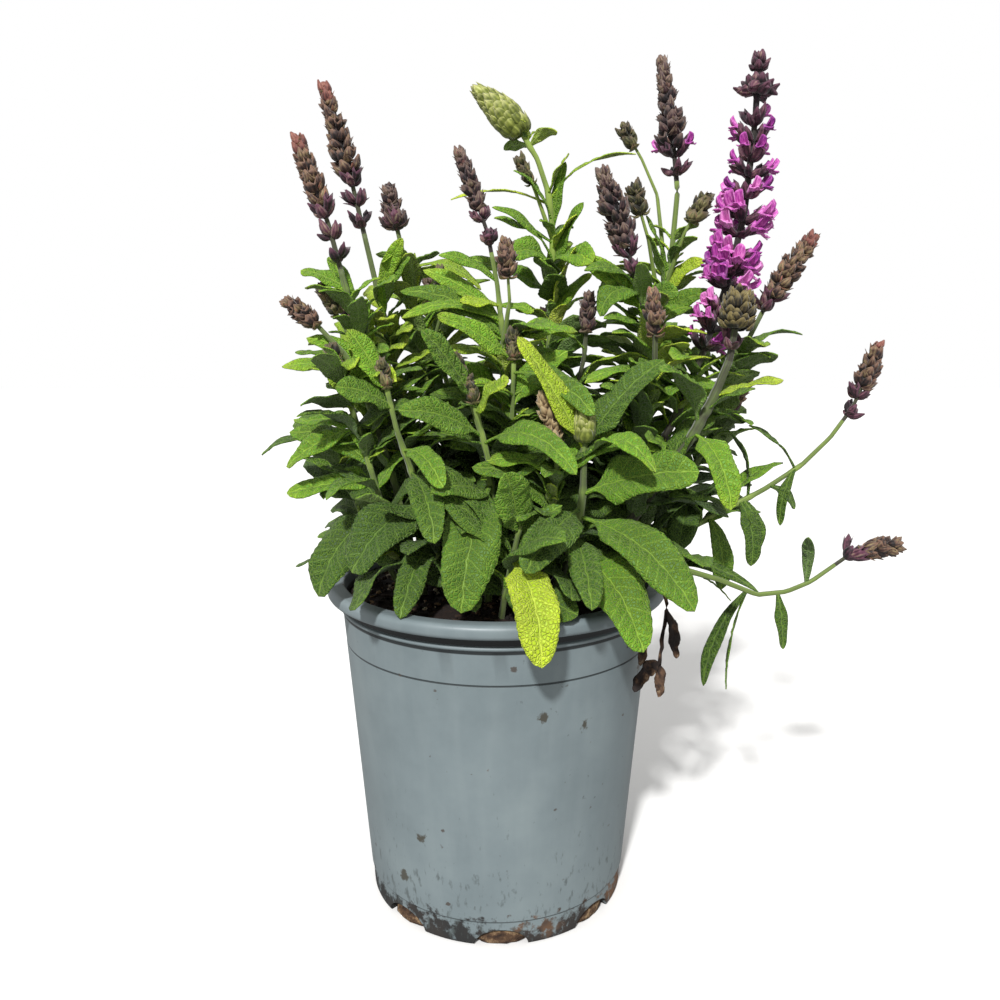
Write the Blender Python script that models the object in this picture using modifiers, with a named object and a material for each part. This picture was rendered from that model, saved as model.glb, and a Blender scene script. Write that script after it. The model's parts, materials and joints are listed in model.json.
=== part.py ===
# A rose-flowered salvia in a grey nursery pot.
# The tables are in millimetres and degrees, and MM turns them into Blender's metres.
# The origin is the middle of the pot's underside, +Z is up and -Y faces the viewer.
# A heading is a compass direction in plan: 0 is +X, -90 faces the viewer.

import math
import random

import bmesh
import bpy
from mathutils import Matrix, Vector
from mathutils.bvhtree import BVHTree

MM = 0.001
GAP = 0.3 * MM
SHARP_ANGLE = 35

# Pot: a one-gallon nursery pot, blow-moulded from one sheet, with a rolled lip.
POT_HEIGHT = 160 * MM
LIP_RADIUS = 83 * MM
LIP_DEPTH = 6.5 * MM
FOOT_RADIUS = 65.2 * MM
FOOT_HEIGHT = 12.7 * MM
WALL_TAPER = 0.0797
WALL = 1.6 * MM
FLOOR = 2.4 * MM
POT_SIDES = 32
DRAIN_COUNT = 8
DRAIN_WIDTH = 25 * MM
DRAIN_HEIGHT = 8.5 * MM
DRAIN_REACH = 11 * MM
DRAIN_TURN = 2

# Compost: fills the pot to just under the lip, with plain holes for the stems.
SOIL_LEVEL = 151 * MM
SOIL_MOUND = 3.5 * MM
HOLE_DEPTH = 11 * MM
HOLE_SIDES = 4

# Stems are square in section, as in every mint relative.
STEP_PER_SPAN = 2
STRAIGHT_WITHIN = 0.7 * MM
BRANCH_RADIUS = 1.15 * MM
TIP_THINNING = 0.55

# Leaf blades: station along the leaf and half-width there as a share of the widest.
LARGE_LEAF = ((0, 0.09), (0.13, 0.18), (0.34, 1), (0.74, 0.86), (1, 0.26))
SMALL_LEAF = ((0, 0.12), (0.28, 1), (0.74, 0.86), (1, 0.26))
NARROW_LEAF = ((0, 0.2), (0.48, 1), (1, 0.26))
LARGE_LEAF_LENGTH = 34 * MM
NARROW_WIDTH = 13.3 * MM
BLADE_THICKNESS = 1.3 * MM
PETIOLE_HALF_WIDTH = 0.8 * MM
BLADE_FOLD = 0.24
BLADE_WAVE = 0.10
GUARD_THICKNESS = 3.2 * MM
GUARD_MARGIN = 0.7 * MM
ROOT_FROM_AXIS = 0.4 * MM

# Length and width in millimetres of the leaves that grow below each height.
LEAF_SIZES = ((175, 52, 20), (205, 46, 16), (232, 42, 12), (275, 38, 9), (310, 30, 8), (400, 18, 6))

# Bends tried in turn on a leaf that would cross another: turned by, lifted by, share of its size.
TRIES = (
    (0, 0, 1), (14, 6, 1), (-14, 6, 1), (0, 16, 0.95), (0, -14, 0.92), (26, 0, 0.92), (-26, 0, 0.92),
    (18, 22, 0.85), (-18, 22, 0.85), (38, -8, 0.8), (-38, -8, 0.8), (0, 30, 0.72), (50, 10, 0.7),
    (-50, 10, 0.7),
)

# Cones of a spike: station up the cone and its radius there as a share of the widest.
CONE_SHAPES = {
    "blunt": ((0, 0.78), (0.25, 1), (0.6, 0.92), (0.85, 0.72), (1, 0.42)),
    "pointed": ((0, 0.9), (0.12, 1), (0.5, 0.68), (0.85, 0.46), (1, 0.3)),
    "club": ((0, 1), (0.3, 0.98), (0.5, 0.84), (0.75, 0.66), (1, 0.4)),
    "bud": ((0, 0.5), (0.22, 0.96), (0.42, 1), (0.7, 0.74), (1, 0.3)),
    "crown": ((0, 0.3), (0.3, 0.36), (0.42, 1), (0.62, 0.9), (0.72, 0.36), (0.84, 0.46), (1, 0.36)),
}

# Flower spikes: whorls of calyces, each turned from the last. A flower has a hood over a broad lip.
WIDE_CONE = 5.2 * MM
WHORL_RADIUS = 5.4 * MM
WHORL_RISE = 3.0 * MM
WIDEST_WHORL = 8
WHORL_UNEVENNESS = 0.12
BLOOM_WHORLS = 6
BLOOM_FLOWERS = 3
HOOD = ((0, 0.4), (0.6, 1), (1, 0.5))
HOOD_LENGTH = 11 * MM
HOOD_WIDTH = 5 * MM
HOOD_DEPTH = 2.2 * MM
LOWER_LIP = ((0, 0.35), (1, 1))
LIP_LENGTH = 9.5 * MM
LIP_WIDTH = 8 * MM
LIP_THICKNESS = 1.3 * MM

# The palette, as linear colour, then roughness.
COLOURS = {
    "pot": ((0.28, 0.34, 0.37, 1), 0.42),
    "soil": ((0.025, 0.018, 0.013, 1), 0.95),
    "leaf": ((0.075, 0.19, 0.03, 1), 0.6),
    "maroon": ((0.07, 0.03, 0.035, 1), 0.7),
    "russet": ((0.105, 0.043, 0.033, 1), 0.7),
    "olive": ((0.12, 0.10, 0.04, 1), 0.7),
    "green_bud": ((0.25, 0.33, 0.09, 1), 0.65),
    "dried": ((0.40, 0.29, 0.17, 1), 0.85),
    "bloom": ((0.55, 0.09, 0.45, 1), 0.6),
    "withered": ((0.12, 0.06, 0.03, 1), 0.85),
}

# Each stem: its path from the compost to the tip of its spike, its radius, the spike it ends in,
# its side branches and the heights at which it bears pairs of leaves.
# A spike is (length, radius, whorls of the dense cone, loose whorls below it, colour). One without a
# colour is fused with its stem. The flowering stem has a length in bloom below its spike.
STEMS = {
    "left_tall": dict(
        path=((-24, -10, 151), (-42, -14, 215), (-62, -15, 272), (-75, -15, 325), (-88, -15, 363)),
        radius=2.2, spike=(63, 5.4, 4, 3, "russet"), cone_share=0.48, pairs=(190, 218, 244, 272),
    ),
    "left_second": dict(
        path=((-27, 6, 151), (-42, 6, 230), (-58, 5, 300), (-68, 5, 350), (-79, 5, 389)),
        radius=2.2, spike=(71, 6.7, 5, 3, "russet"), cone="club", cone_share=0.56, pairs=(180, 218, 244, 270),
    ),
    "left_third": dict(
        path=((-15, 16, 151), (-28, 22, 230), (-40, 22, 290), (-53, 20, 348)),
        radius=2.0, spike=(25, 7.2, 4, 1, "maroon"), cone="pointed", cone_share=0.78, pairs=(188, 216, 240, 262, 288),
        branches=(dict(start=262, path=((-26, 14, 290), (-27, 10, 309)), spike=(14, 3.2, 2, 0, None)),),
    ),
    "centre_tall": dict(
        path=((2, -5, 151), (3, -9, 220), (3, -10, 275), (-4, -10, 322), (-17, -10, 358)),
        radius=1.9, spike=(50, 4.6, 4, 2, "maroon"), cone_share=0.52, pairs=(176, 208, 232, 256),
        branches=(dict(start=272, path=((6, -15, 292), (4, -15, 319)), spike=(16, 4.8, 3, 0, "russet")),),
    ),
    "green_bud": dict(
        path=((13, 14, 151), (23, 22, 230), (28, 25, 300), (25, 25, 345), (12, 25, 372), (-10, 25, 392)),
        radius=2.1, spike=(31, 7.6, 6, 0, "green_bud"), cone="bud", pairs=(180, 216, 240, 260, 282, 366),
        branches=(dict(start=322, path=((18, 20, 346), (10, 18, 360)), spike=(13, 3.4, 2, 0, None)),),
    ),
    "dark_cone": dict(
        path=((26, 3, 151), (60, 2, 200), (74, 0, 245), (67, 0, 298), (48, 0, 352)),
        radius=2.0, spike=(58, 7.6, 6, 2, "maroon"), cone_share=0.62,
        pairs=(176, 208, 234, 256, 278),
    ),
    "right_tall": dict(
        path=((24, 18, 151), (58, 23, 215), (80, 25, 280), (88, 25, 345), (78, 25, 406)),
        radius=2.2, spike=(60, 8.6, 6, 2, "maroon"), cone="pointed", cone_share=0.67,
        pairs=(178, 212, 236, 258, 280, 304), open_flowers=2,
        branches=(
            dict(start=296, path=((80, 36, 345), (62, 38, 378)), spike=(11, 4.2, 2, 0, None)),
            dict(start=288, path=((73, 16, 322), (64, 14, 348)), spike=(15, 5.2, 2, 0, None)),
            dict(start=300, path=((91, 17, 326), (101, 17, 343)), spike=(14, 5.0, 2, 0, None)),
        ),
    ),
    "flowering": dict(
        path=((35, -8, 151), (72, -8, 212), (98, -6, 272), (113, -5, 330), (117, -5, 400)),
        radius=2.6, spike=(52, 10.0, 3, 3, "maroon"), cone="crown", bloom=84, pairs=(180, 214, 240),
    ),
    "right_lean": dict(
        path=((40, 13, 151), (84, 18, 208), (117, 20, 258), (134, 20, 294), (155, 20, 325)),
        radius=2.0, spike=(48, 6.8, 5, 2, "russet"), cone_share=0.72, pairs=(176, 206, 230, 252),
    ),
    "olive_cone": dict(
        path=((38, -24, 151), (66, -30, 200), (88, -31, 232), (103, -31, 266), (107, -31, 296)),
        radius=3.0, spike=(34, 8.4, 5, 1, "olive"), pairs=(172, 200),
    ),
    "far_right_high": dict(
        path=(
            (50, -4, 151), (84, -10, 180), (110, -10, 194), (145, -10, 216), (167, -10, 243), (177, -10, 273),
        ),
        radius=1.6, spike=(42, 5.4, 4, 2, "russet"), pairs=(176,),
    ),
    "far_right_low": dict(
        path=(
            (48, -22, 151), (84, -26, 170), (122, -27, 157), (147, -26, 163), (165, -25, 176),
            (189, -25, 181),
        ),
        radius=1.6, spike=(36, 6.2, 4, 1, "russet"), pairs=(164,),
    ),
    "left_low": dict(
        path=((-34, -16, 151), (-50, -22, 220), (-68, -24, 268), (-94, -24, 292)),
        radius=1.8, spike=(17, 4.8, 4, 0, "russet"), pairs=(184, 244),
        branches=(dict(start=240, path=((-66, -16, 274), (-80, -12, 299)), spike=(14, 3.8, 2, 0, None)),),
    ),
    "pale_spike": dict(
        path=((10, -27, 151), (24, -42, 200), (26, -47, 225), (20, -48, 253)),
        radius=1.7, spike=(27, 4.8, 5, 0, "dried"), pairs=(170, 200),
    ),
    "front_bud": dict(
        path=((24, -36, 151), (36, -46, 195), (38, -48, 220), (38, -48, 246)),
        radius=2.1, spike=(15, 5.0, 4, 0, "green_bud"), pairs=(168,),
    ),
    "front_left": dict(
        path=((-4, -28, 151), (-2, -38, 205), (-6, -41, 235), (-14, -41, 261)),
        radius=1.9, spike=(13, 3.4, 2, 0, None), pairs=(168, 188),
        branches=(dict(start=226, path=((-12, -34, 250), (-18, -33, 268)), spike=(11, 3.2, 2, 0, None)),),
    ),
    "mid_right": dict(
        path=((16, 2, 151), (32, 5, 225), (42, 5, 265), (44, 5, 296)),
        radius=1.7, spike=(17, 4.2, 4, 0, "maroon"), pairs=(174, 204, 236),
    ),
    "mid_right_front": dict(
        path=((30, -13, 151), (62, -20, 215), (72, -20, 262), (70, -19, 297)),
        radius=1.9, spike=(20, 5.0, 4, 0, "russet"), pairs=(172, 202, 236),
    ),
    "mid_front": dict(
        path=((-10, -17, 151), (4, -25, 215), (8, -26, 250), (7, -26, 280)),
        radius=1.6, spike=(13, 3.4, 2, 0, None), pairs=(178, 206, 232),
    ),
    "left_front": dict(
        path=((-38, -30, 151), (-50, -34, 195), (-62, -34, 238), (-73, -32, 273)),
        radius=1.7, spike=(12, 3.6, 2, 0, None), pairs=(172, 220, 254),
    ),
    "left_front_inner": dict(
        path=((-20, -28, 151), (-32, -38, 200), (-43, -43, 235), (-50, -43, 267)),
        radius=1.8, spike=(12, 3.4, 2, 0, None), pairs=(166,),
    ),
    "back_left": dict(
        path=((-32, 26, 151), (-52, 44, 210), (-72, 54, 260), (-84, 56, 300)),
        radius=1.9, spike=(26, 5.2, 4, 1, "russet"), pairs=(172, 202, 234, 262),
    ),
    "back_centre_left": dict(
        path=((-9, 36, 151), (-20, 56, 210), (-30, 68, 262), (-38, 72, 308)),
        radius=1.9, spike=(24, 5.0, 4, 0, "maroon"), pairs=(174, 206, 240, 270),
    ),
    "back_centre": dict(
        path=((14, 40, 151), (20, 62, 205), (24, 76, 250), (28, 84, 292)),
        radius=1.9, spike=(28, 6.0, 4, 1, "maroon"), pairs=(202, 232, 256),
    ),
    "back_right": dict(
        path=((34, 34, 151), (60, 50, 205), (78, 60, 250), (90, 64, 296)),
        radius=1.9, spike=(22, 5.0, 4, 0, "olive"), pairs=(172, 204, 236, 262),
    ),
    "back_far_right": dict(
        path=((50, 16, 151), (86, 32, 186), (112, 42, 218), (134, 48, 256)),
        radius=1.8, spike=(22, 5.0, 4, 0, "russet"), pairs=(168, 192, 218),
    ),
    "low_left": dict(
        path=((-48, 4, 151), (-62, 6, 178), (-74, 6, 204), (-82, 6, 228)),
        radius=1.7, spike=None, pairs=(164, 186, 212),
    ),
    "low_back": dict(
        path=((0, 56, 151), (0, 72, 176), (2, 84, 200), (2, 92, 220)),
        radius=1.7, spike=None, pairs=(190, 218),
    ),
    "low_front": dict(
        path=((2, -50, 151), (4, -58, 168), (8, -62, 184), (10, -64, 198)),
        radius=1.6, spike=None, pairs=(166,),
    ),
}

# The leaves that shape the outline seen in the photograph: the stem, the height of the joint, where the
# leaf's tip lies, its arch in degrees, its width, and how far its face tips towards the viewer.
PLACED_LEAVES = (
    ("front_bud", 228, (9, -54, 276), 5, 12, 50), ("front_bud", 228, (73, -37, 266), 15, 15, 40),
    ("front_bud", 225, (64, -74, 222), 48, 12, 20), ("olive_cone", 237, (68, -58, 262), 38, 13, 20),
    ("olive_cone", 233, (99, -60, 204), 34, 14, 40), ("olive_cone", 250, (126, -34, 257), 10, 10, 10),
    ("olive_cone", 244, (111, -44, 254), 15, 8, 10), ("front_bud", 209, (84, -64, 221), 12, 22, 50),
    ("front_bud", 198, (80, -84, 167), 25, 20, 50), ("front_bud", 183, (66, -94, 161), 30, 24, 50),
    ("front_bud", 190, (38, -92, 170), 20, 13, 40), ("front_bud", 202, (12, -84, 183), 15, 18, 55),
    ("low_front", 182, (18, -97, 148), 42, 19, 30), ("front_left", 211, (-14, -80, 165), 28, 24, 40),
    ("left_front_inner", 217, (-25, -75, 193), 30, 14, 40),
    ("left_front_inner", 203, (-61, -62, 177), 25, 23, 50),
    ("left_front", 199, (-78, -50, 163), 28, 21, 40), ("left_front_inner", 186, (-40, -72, 160), 22, 13, 40),
    ("left_front_inner", 179, (-20, -79, 160), 22, 14, 40),
    ("left_front_inner", 246, (-67, -54, 255), 20, 14, 45),
    ("front_left", 233, (-40, -62, 246), 18, 15, 50), ("front_left", 230, (32, -78, 222), 36, 13, 45),
    ("low_front", 196, (4, -74, 222), 10, 17, 60), ("left_front_inner", 227, (-22, -70, 215), 30, 11, 40),
    ("low_left", 226, (-112, -6, 220), 30, 8, 0), ("left_front", 236, (-94, -32, 218), 15, 12, 40),
    ("left_low", 212, (-96, -26, 205), 5, 14, 30), ("left_tall", 262, (-99, -12, 262), 10, 10, 30),
    ("left_low", 265, (-89, -28, 269), 12, 7, 20), ("left_front", 243, (-74, -37, 265), 8, 9, 40),
    ("left_front_inner", 256, (-63, -46, 279), 6, 12, 50), ("centre_tall", 283, (-42, -22, 284), 30, 8, 40),
    ("front_left", 252, (-31, -54, 279), 10, 12, 50), ("mid_front", 265, (-25, -42, 285), 12, 11, 50),
    ("front_left", 244, (5, -60, 258), 15, 13, 50), ("mid_front", 260, (32, -60, 239), 24, 12, 50),
    ("centre_tall", 290, (-16, -20, 291), 12, 9, 30), ("centre_tall", 290, (17, -22, 289), 12, 9, 30),
    ("mid_right", 270, (12, -22, 279), 25, 10.5, 40), ("left_second", 297, (-47, -3, 326), 6, 8, 84),
    ("left_second", 284, (-62, -6, 308), 8, 5, 60), ("left_tall", 297, (-88, -8, 303), 16, 10, 30),
    ("left_third", 308, (-8, 16, 298), 36, 10, 20), ("left_third", 276, (-3, 6, 316), 36, 7, 30),
    ("left_front", 250, (-74, -34, 286), 12, 9, 50),
    ("green_bud", 341, (66, 18, 361), 32, 6, 10), ("green_bud", 339, (-20, 12, 336), 24, 6, 10),
    ("green_bud", 344, (34, 16, 361), 10, 8, 30), ("green_bud", 321, (0, 12, 340), 12, 9, 30),
    ("green_bud", 318, (36, 12, 338), 12, 10, 30), ("green_bud", 298, (20, 6, 320), 14, 13, 40),
    ("green_bud", 296, (-14, 12, 312), 14, 12, 40), ("green_bud", 292, (16, 10, 311), 20, 17, 60),
    ("green_bud", 286, (38, 6, 314), 12, 9, 50), ("dark_cone", 296, (48, -10, 285), 48, 14, 40),
    ("dark_cone", 296, (37, -6, 302), 38, 8, 30), ("far_right_high", 214, (118, -14, 235), 22, 6, 20),
    ("far_right_high", 214, (135, -14, 187), 30, 5, 20), ("far_right_high", 200, (108, -16, 233), 30, 5, 20),
    ("far_right_high", 198, (120, -20, 169), 35, 9, 30), ("far_right_high", 190, (106, -22, 158), 35, 10, 30),
    ("far_right_low", 159, (127, -30, 191), 30, 6, 20), ("far_right_low", 163, (128, -36, 168), 35, 6, 20),
    ("far_right_low", 162, (148, -32, 149), 30, 4, 20), ("far_right_low", 158, (98, -30, 113), 20, 7, 30),
    ("far_right_low", 157, (134, -32, 132), 8, 6, 30), ("far_right_low", 160, (111, -22, 108), 12, 5, 20),
)

# The withered leaf that hangs over the right of the lip: its stalk, then its two crumpled halves as
# (share along the stalk, tip, arch, width).
WITHERED_STALK = (
    (59, -36, 151), (64, -40, 167), (72, -42, 169), (77, -43, 157), (76, -43, 142), (74, -44, 128),
)
WITHERED_RADIUS = 0.9
WITHERED_BLADES = (
    (0.66, (80, -47, 132), 10, 6), (0.97, (62, -56, 119), 24, 11), (0.99, (76, -51, 114), 10, 9),
)


def clear_scene():
    for obj in list(bpy.data.objects):
        bpy.data.objects.remove(obj, do_unlink=True)


def make_collection(name, hidden=False):
    collection = bpy.data.collections.new(name)
    bpy.context.scene.collection.children.link(collection)
    collection.hide_render = hidden
    return collection


def make_material(name):
    colour, roughness = COLOURS[name]
    material = bpy.data.materials.new(name)
    material.use_nodes = True
    shader = material.node_tree.nodes["Principled BSDF"]
    shader.inputs["Base Color"].default_value = colour
    shader.inputs["Roughness"].default_value = roughness
    shader.inputs["Metallic"].default_value = 0
    return material


def add_mesh_object(name, bm, collection, material=None):
    mesh = bpy.data.meshes.new(name)
    bm.to_mesh(mesh)
    bm.free()
    obj = bpy.data.objects.new(name, mesh)
    collection.objects.link(obj)
    if material:
        mesh.materials.append(material)
    return obj


def add_cutter(name, bm, collection):
    cutter = add_mesh_object(name, bm, collection)
    cutter.hide_render = True
    cutter.display_type = "WIRE"


def shade_round(obj):
    obj.data.shade_smooth()
    obj.data.set_sharp_from_angle(angle=math.radians(SHARP_ANGLE))


def apply_modifiers(obj):
    """Puts the evaluated mesh in the object's place, and drops its modifiers."""
    graph = bpy.context.evaluated_depsgraph_get()
    mesh = bpy.data.meshes.new_from_object(obj.evaluated_get(graph))
    obj.modifiers.clear()
    obj.data = mesh


# Pot and compost

def wall_radius(height):
    """The pot's outer radius at a height above the foot."""
    return FOOT_RADIUS - 0.2 * MM + WALL_TAPER * max(0.0, height - FOOT_HEIGHT)


def bore_radius(height):
    """The pot's inner radius at a height, from the floor's corner straight up to the lip."""
    low, high = FLOOR + 3 * MM, POT_HEIGHT - 1.6 * MM
    share = (height - low) / (high - low)
    foot, mouth = FOOT_RADIUS - WALL - 0.4 * MM, wall_radius(POT_HEIGHT - LIP_DEPTH) - WALL
    return foot + (mouth - foot) * share


def turned(name, profile, sides, collection, material):
    """A profile of (radius, height), turned about Z. It runs up its inner side and down its outer one."""
    bm = bmesh.new()
    verts = [bm.verts.new((radius, 0, height)) for radius, height in profile]
    for first, second in zip(verts, verts[1:]):
        bm.edges.new((first, second))
    obj = add_mesh_object(name, bm, collection, material)
    screw = obj.modifiers.new("turn", "SCREW")
    screw.steps = screw.render_steps = sides
    screw.use_merge_vertices = True
    screw.merge_threshold = 0.0001
    return obj


def build_pot(collection, cutters, material):
    band_bottom, band_top = POT_HEIGHT - 13.2 * MM, POT_HEIGHT - 11.4 * MM
    band = 0.9 * MM
    lip_round = 2 * MM
    under_lip = POT_HEIGHT - LIP_DEPTH
    bore, corner = bore_radius(POT_HEIGHT - 1.6 * MM), bore_radius(FLOOR + 3 * MM)
    inside = [(0, FLOOR), (corner - 2.6 * MM, FLOOR), (corner, FLOOR + 3 * MM)]
    inside += [(bore, POT_HEIGHT - 1.6 * MM), (bore + 1.6 * MM, POT_HEIGHT)]
    lip = [(LIP_RADIUS - lip_round, POT_HEIGHT), (LIP_RADIUS, POT_HEIGHT - lip_round)]
    lip += [(LIP_RADIUS, under_lip + lip_round), (LIP_RADIUS - lip_round, under_lip)]
    lip += [(bore + WALL, under_lip)]
    outside = [(wall_radius(band_top), band_top), (wall_radius(band_top) + band, band_top - 0.3 * MM)]
    outside += [(wall_radius(band_bottom) + band, band_bottom)]
    outside += [(wall_radius(band_bottom), band_bottom - 0.4 * MM)]
    outside += [(wall_radius(FOOT_HEIGHT), FOOT_HEIGHT), (FOOT_RADIUS - 0.9 * MM, FOOT_HEIGHT - 0.5 * MM)]
    outside += [(FOOT_RADIUS - 1.6 * MM, 0), (0, 0)]
    pot = turned("pot", inside + lip + outside, POT_SIDES, collection, material)
    apply_modifiers(pot)
    cut_drains(pot, cutters)
    return pot


def cut_drains(pot, cutters):
    """Arched drain holes round the corner between the wall and the floor."""
    for i in range(DRAIN_COUNT):
        angle = math.radians(-90 + DRAIN_TURN + 360 * i / DRAIN_COUNT)
        bm = bmesh.new()
        bmesh.ops.create_cone(bm, cap_ends=True, segments=10, radius1=1, radius2=1, depth=1)
        size = Matrix.Diagonal((DRAIN_HEIGHT, DRAIN_WIDTH / 2, 2 * DRAIN_REACH, 1))
        lay = Matrix.Rotation(math.radians(90), 4, "Y")
        out = Matrix.Translation((FOOT_RADIUS, 0, 0))
        bm.transform(Matrix.Rotation(angle, 4, "Z") @ out @ lay @ size)
        add_cutter(f"drain_{i}", bm, cutters)
    cut = pot.modifiers.new("drains", "BOOLEAN")
    cut.operation = "DIFFERENCE"
    cut.operand_type = "COLLECTION"
    cut.collection = cutters
    apply_modifiers(pot)
    shade_round(pot)


def soil_height(x, y):
    """The compost's uneven surface, as a height."""
    reach = math.hypot(x, y) / LIP_RADIUS
    lumps = math.sin(x / (9 * MM) + 0.7) * math.cos(y / (11 * MM)) + 0.6 * math.sin((x - y) / (6 * MM))
    return SOIL_LEVEL + SOIL_MOUND * (1 - reach * reach) + 0.8 * MM * lumps


def build_soil(collection, cutters, material, stalks):
    top, corner = bore_radius(SOIL_LEVEL) - GAP, bore_radius(FLOOR + 3 * MM) - GAP
    floor = FLOOR + GAP
    profile = [(top * share, SOIL_LEVEL) for share in (0, 0.4, 0.75, 1)]
    profile += [(corner, floor + 3 * MM), (corner - 2.8 * MM, floor), (0, floor)]
    soil = turned("compost", profile, POT_SIDES, collection, material)
    apply_modifiers(soil)
    for vert in soil.data.vertices:
        if vert.co.z > SOIL_LEVEL - 1 * MM:
            vert.co.z = soil_height(vert.co.x, vert.co.y)
            if math.hypot(vert.co.x, vert.co.y) > 0.98 * top:
                vert.co.z = min(vert.co.z, SOIL_LEVEL)
    for name, (path, radius) in stalks.items():
        direction = (path[1] - path[0]).normalized()
        hole = (radius + GAP) / math.cos(math.pi / HOLE_SIDES)
        depth = HOLE_DEPTH + 14 * MM
        bm = bmesh.new()
        bmesh.ops.create_cone(
            bm, cap_ends=True, segments=HOLE_SIDES, radius1=hole, radius2=hole, depth=depth,
        )
        turn = direction.to_track_quat("Z", "Y").to_matrix().to_4x4()
        middle = path[0] + direction * (depth / 2 - GAP)
        bm.transform(Matrix.Translation(middle) @ turn)
        add_cutter(f"hole_{name}", bm, cutters)
    cut = soil.modifiers.new("stem holes", "BOOLEAN")
    cut.operation = "DIFFERENCE"
    cut.operand_type = "COLLECTION"
    cut.collection = cutters
    apply_modifiers(soil)
    shade_round(soil)
    return soil


# Paths

def smooth_path(points):
    """A Catmull-Rom curve through the points, sampled at even steps in each span."""
    points = [Vector(p) * MM for p in points]
    ends = [points[0] * 2 - points[1]] + points + [points[-1] * 2 - points[-2]]
    path = []
    for a, b, c, d in zip(ends, ends[1:], ends[2:], ends[3:]):
        for step in range(STEP_PER_SPAN):
            t = step / STEP_PER_SPAN
            slope = (c - a) * t
            square = (2 * a - 5 * b + 4 * c - d) * t * t
            cube = (3 * b - a - 3 * c + d) * t * t * t
            path.append((2 * b + slope + square + cube) / 2)
    return without_straights(path + [points[-1]])


def without_straights(path):
    """Leaves out the points that lie on the line between their neighbours, near enough."""
    kept = [path[0]]
    for point, after in zip(path[1:], path[2:]):
        along = (after - kept[-1]).normalized()
        aside = (point - kept[-1]) - along * (point - kept[-1]).dot(along)
        if aside.length > STRAIGHT_WITHIN:
            kept.append(point)
    return kept + [path[-1]]


def rooted_path(points):
    """A smooth path that starts in the compost, as deep as its hole."""
    path = smooth_path(points)
    return [path[0] - (path[1] - path[0]).normalized() * HOLE_DEPTH] + path


def path_lengths(path):
    lengths = [0.0]
    for first, second in zip(path, path[1:]):
        lengths.append(lengths[-1] + (second - first).length)
    return lengths


def point_at(path, distance):
    """The point and the direction of the path at a distance from its start."""
    lengths = path_lengths(path)
    distance = min(max(distance, 0.0), lengths[-1])
    i = 0
    while i < len(path) - 2 and distance > lengths[i + 1]:
        i += 1
    share = (distance - lengths[i]) / (lengths[i + 1] - lengths[i])
    return path[i].lerp(path[i + 1], share), (path[i + 1] - path[i]).normalized()


def distance_at_height(path, height):
    """How far along the path it first rises through a height, or where it comes nearest to it."""
    lengths = path_lengths(path)
    for i in range(len(path) - 1):
        low, high = path[i].z, path[i + 1].z
        if low <= height < high:
            return lengths[i] + (lengths[i + 1] - lengths[i]) * (height - low) / (high - low)
    return lengths[min(range(len(path)), key=lambda i: abs(path[i].z - height))]


def stretch(path, start, end):
    """The part of a path between two distances."""
    lengths = path_lengths(path)
    inside = [path[i] for i in range(len(path)) if start + 1 * MM < lengths[i] < end - 1 * MM]
    return [point_at(path, start)[0]] + inside + [point_at(path, end)[0]]


def tube(name, path, radius, end_radius, collection):
    """A square tube along a path, as a mesh with its caps welded."""
    curve = bpy.data.curves.new(name, "CURVE")
    curve.dimensions = "3D"
    curve.bevel_depth = 1
    curve.bevel_resolution = 0
    curve.use_fill_caps = True
    spline = curve.splines.new("POLY")
    spline.points.add(len(path) - 1)
    for i, point in enumerate(path):
        spline.points[i].co = (*point, 1)
        spline.points[i].radius = radius + (end_radius - radius) * i / (len(path) - 1)
    guide = bpy.data.objects.new(name, curve)
    collection.objects.link(guide)
    graph = bpy.context.evaluated_depsgraph_get()
    mesh = bpy.data.meshes.new_from_object(guide.evaluated_get(graph))
    matrix = guide.matrix_world.copy()
    bpy.data.objects.remove(guide, do_unlink=True)
    bm = bmesh.new()
    bm.from_mesh(mesh)
    bmesh.ops.remove_doubles(bm, verts=bm.verts, dist=0.001 * MM)
    bmesh.ops.recalc_face_normals(bm, faces=bm.faces)
    obj = add_mesh_object(name, bm, collection)
    obj.matrix_world = matrix
    return obj


# Blades: leaves and petals are prisms of three or four sides, bent along a midrib

def prism(sides, levels):
    """A prism one unit in radius, cut across so that its corners lie at heights 0, 1, 2 ..."""
    bm = bmesh.new()
    bmesh.ops.create_cone(bm, cap_ends=True, segments=sides, radius1=1, radius2=1, depth=levels - 1)
    bmesh.ops.translate(bm, vec=(0, 0, (levels - 1) / 2), verts=bm.verts)
    upright = [e for e in bm.edges if abs(e.verts[0].co.z - e.verts[1].co.z) > 0.5]
    if levels > 2:
        bmesh.ops.subdivide_edges(bm, edges=upright, cuts=levels - 2)
    return bm


def turn_outward(bm):
    if bm.calc_volume(signed=True) < 0:
        bmesh.ops.reverse_faces(bm, faces=bm.faces)


def split_alike(bm):
    """Splits each side of a four-sided prism from its outer corner below to its middle above, so that
    the blade's upper and lower faces bend alike."""
    for face in [f for f in bm.faces if abs(f.normal.z) < 0.5]:
        outer = min(face.verts, key=lambda v: (round(v.co.z), -abs(v.co.x)))
        middle = max(face.verts, key=lambda v: (round(v.co.z), abs(v.co.y)))
        bmesh.utils.face_split(face, outer, middle)


def midrib(leaf, share):
    """The point and the direction at a share of the blade's length."""
    root, bend, tip = leaf["root"], leaf["bend"], leaf["tip"]
    point = root * (1 - share) ** 2 + bend * (2 * share * (1 - share)) + tip * (share * share)
    return point, ((bend - root) * (1 - share) + (tip - bend) * share).normalized()


def share_at(outline, station):
    """An outline's half-width, as a share of the widest, between its first two stations."""
    (low, narrow), (high, wide) = outline[:2]
    return narrow + (wide - narrow) * (station - low) / (high - low)


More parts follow.
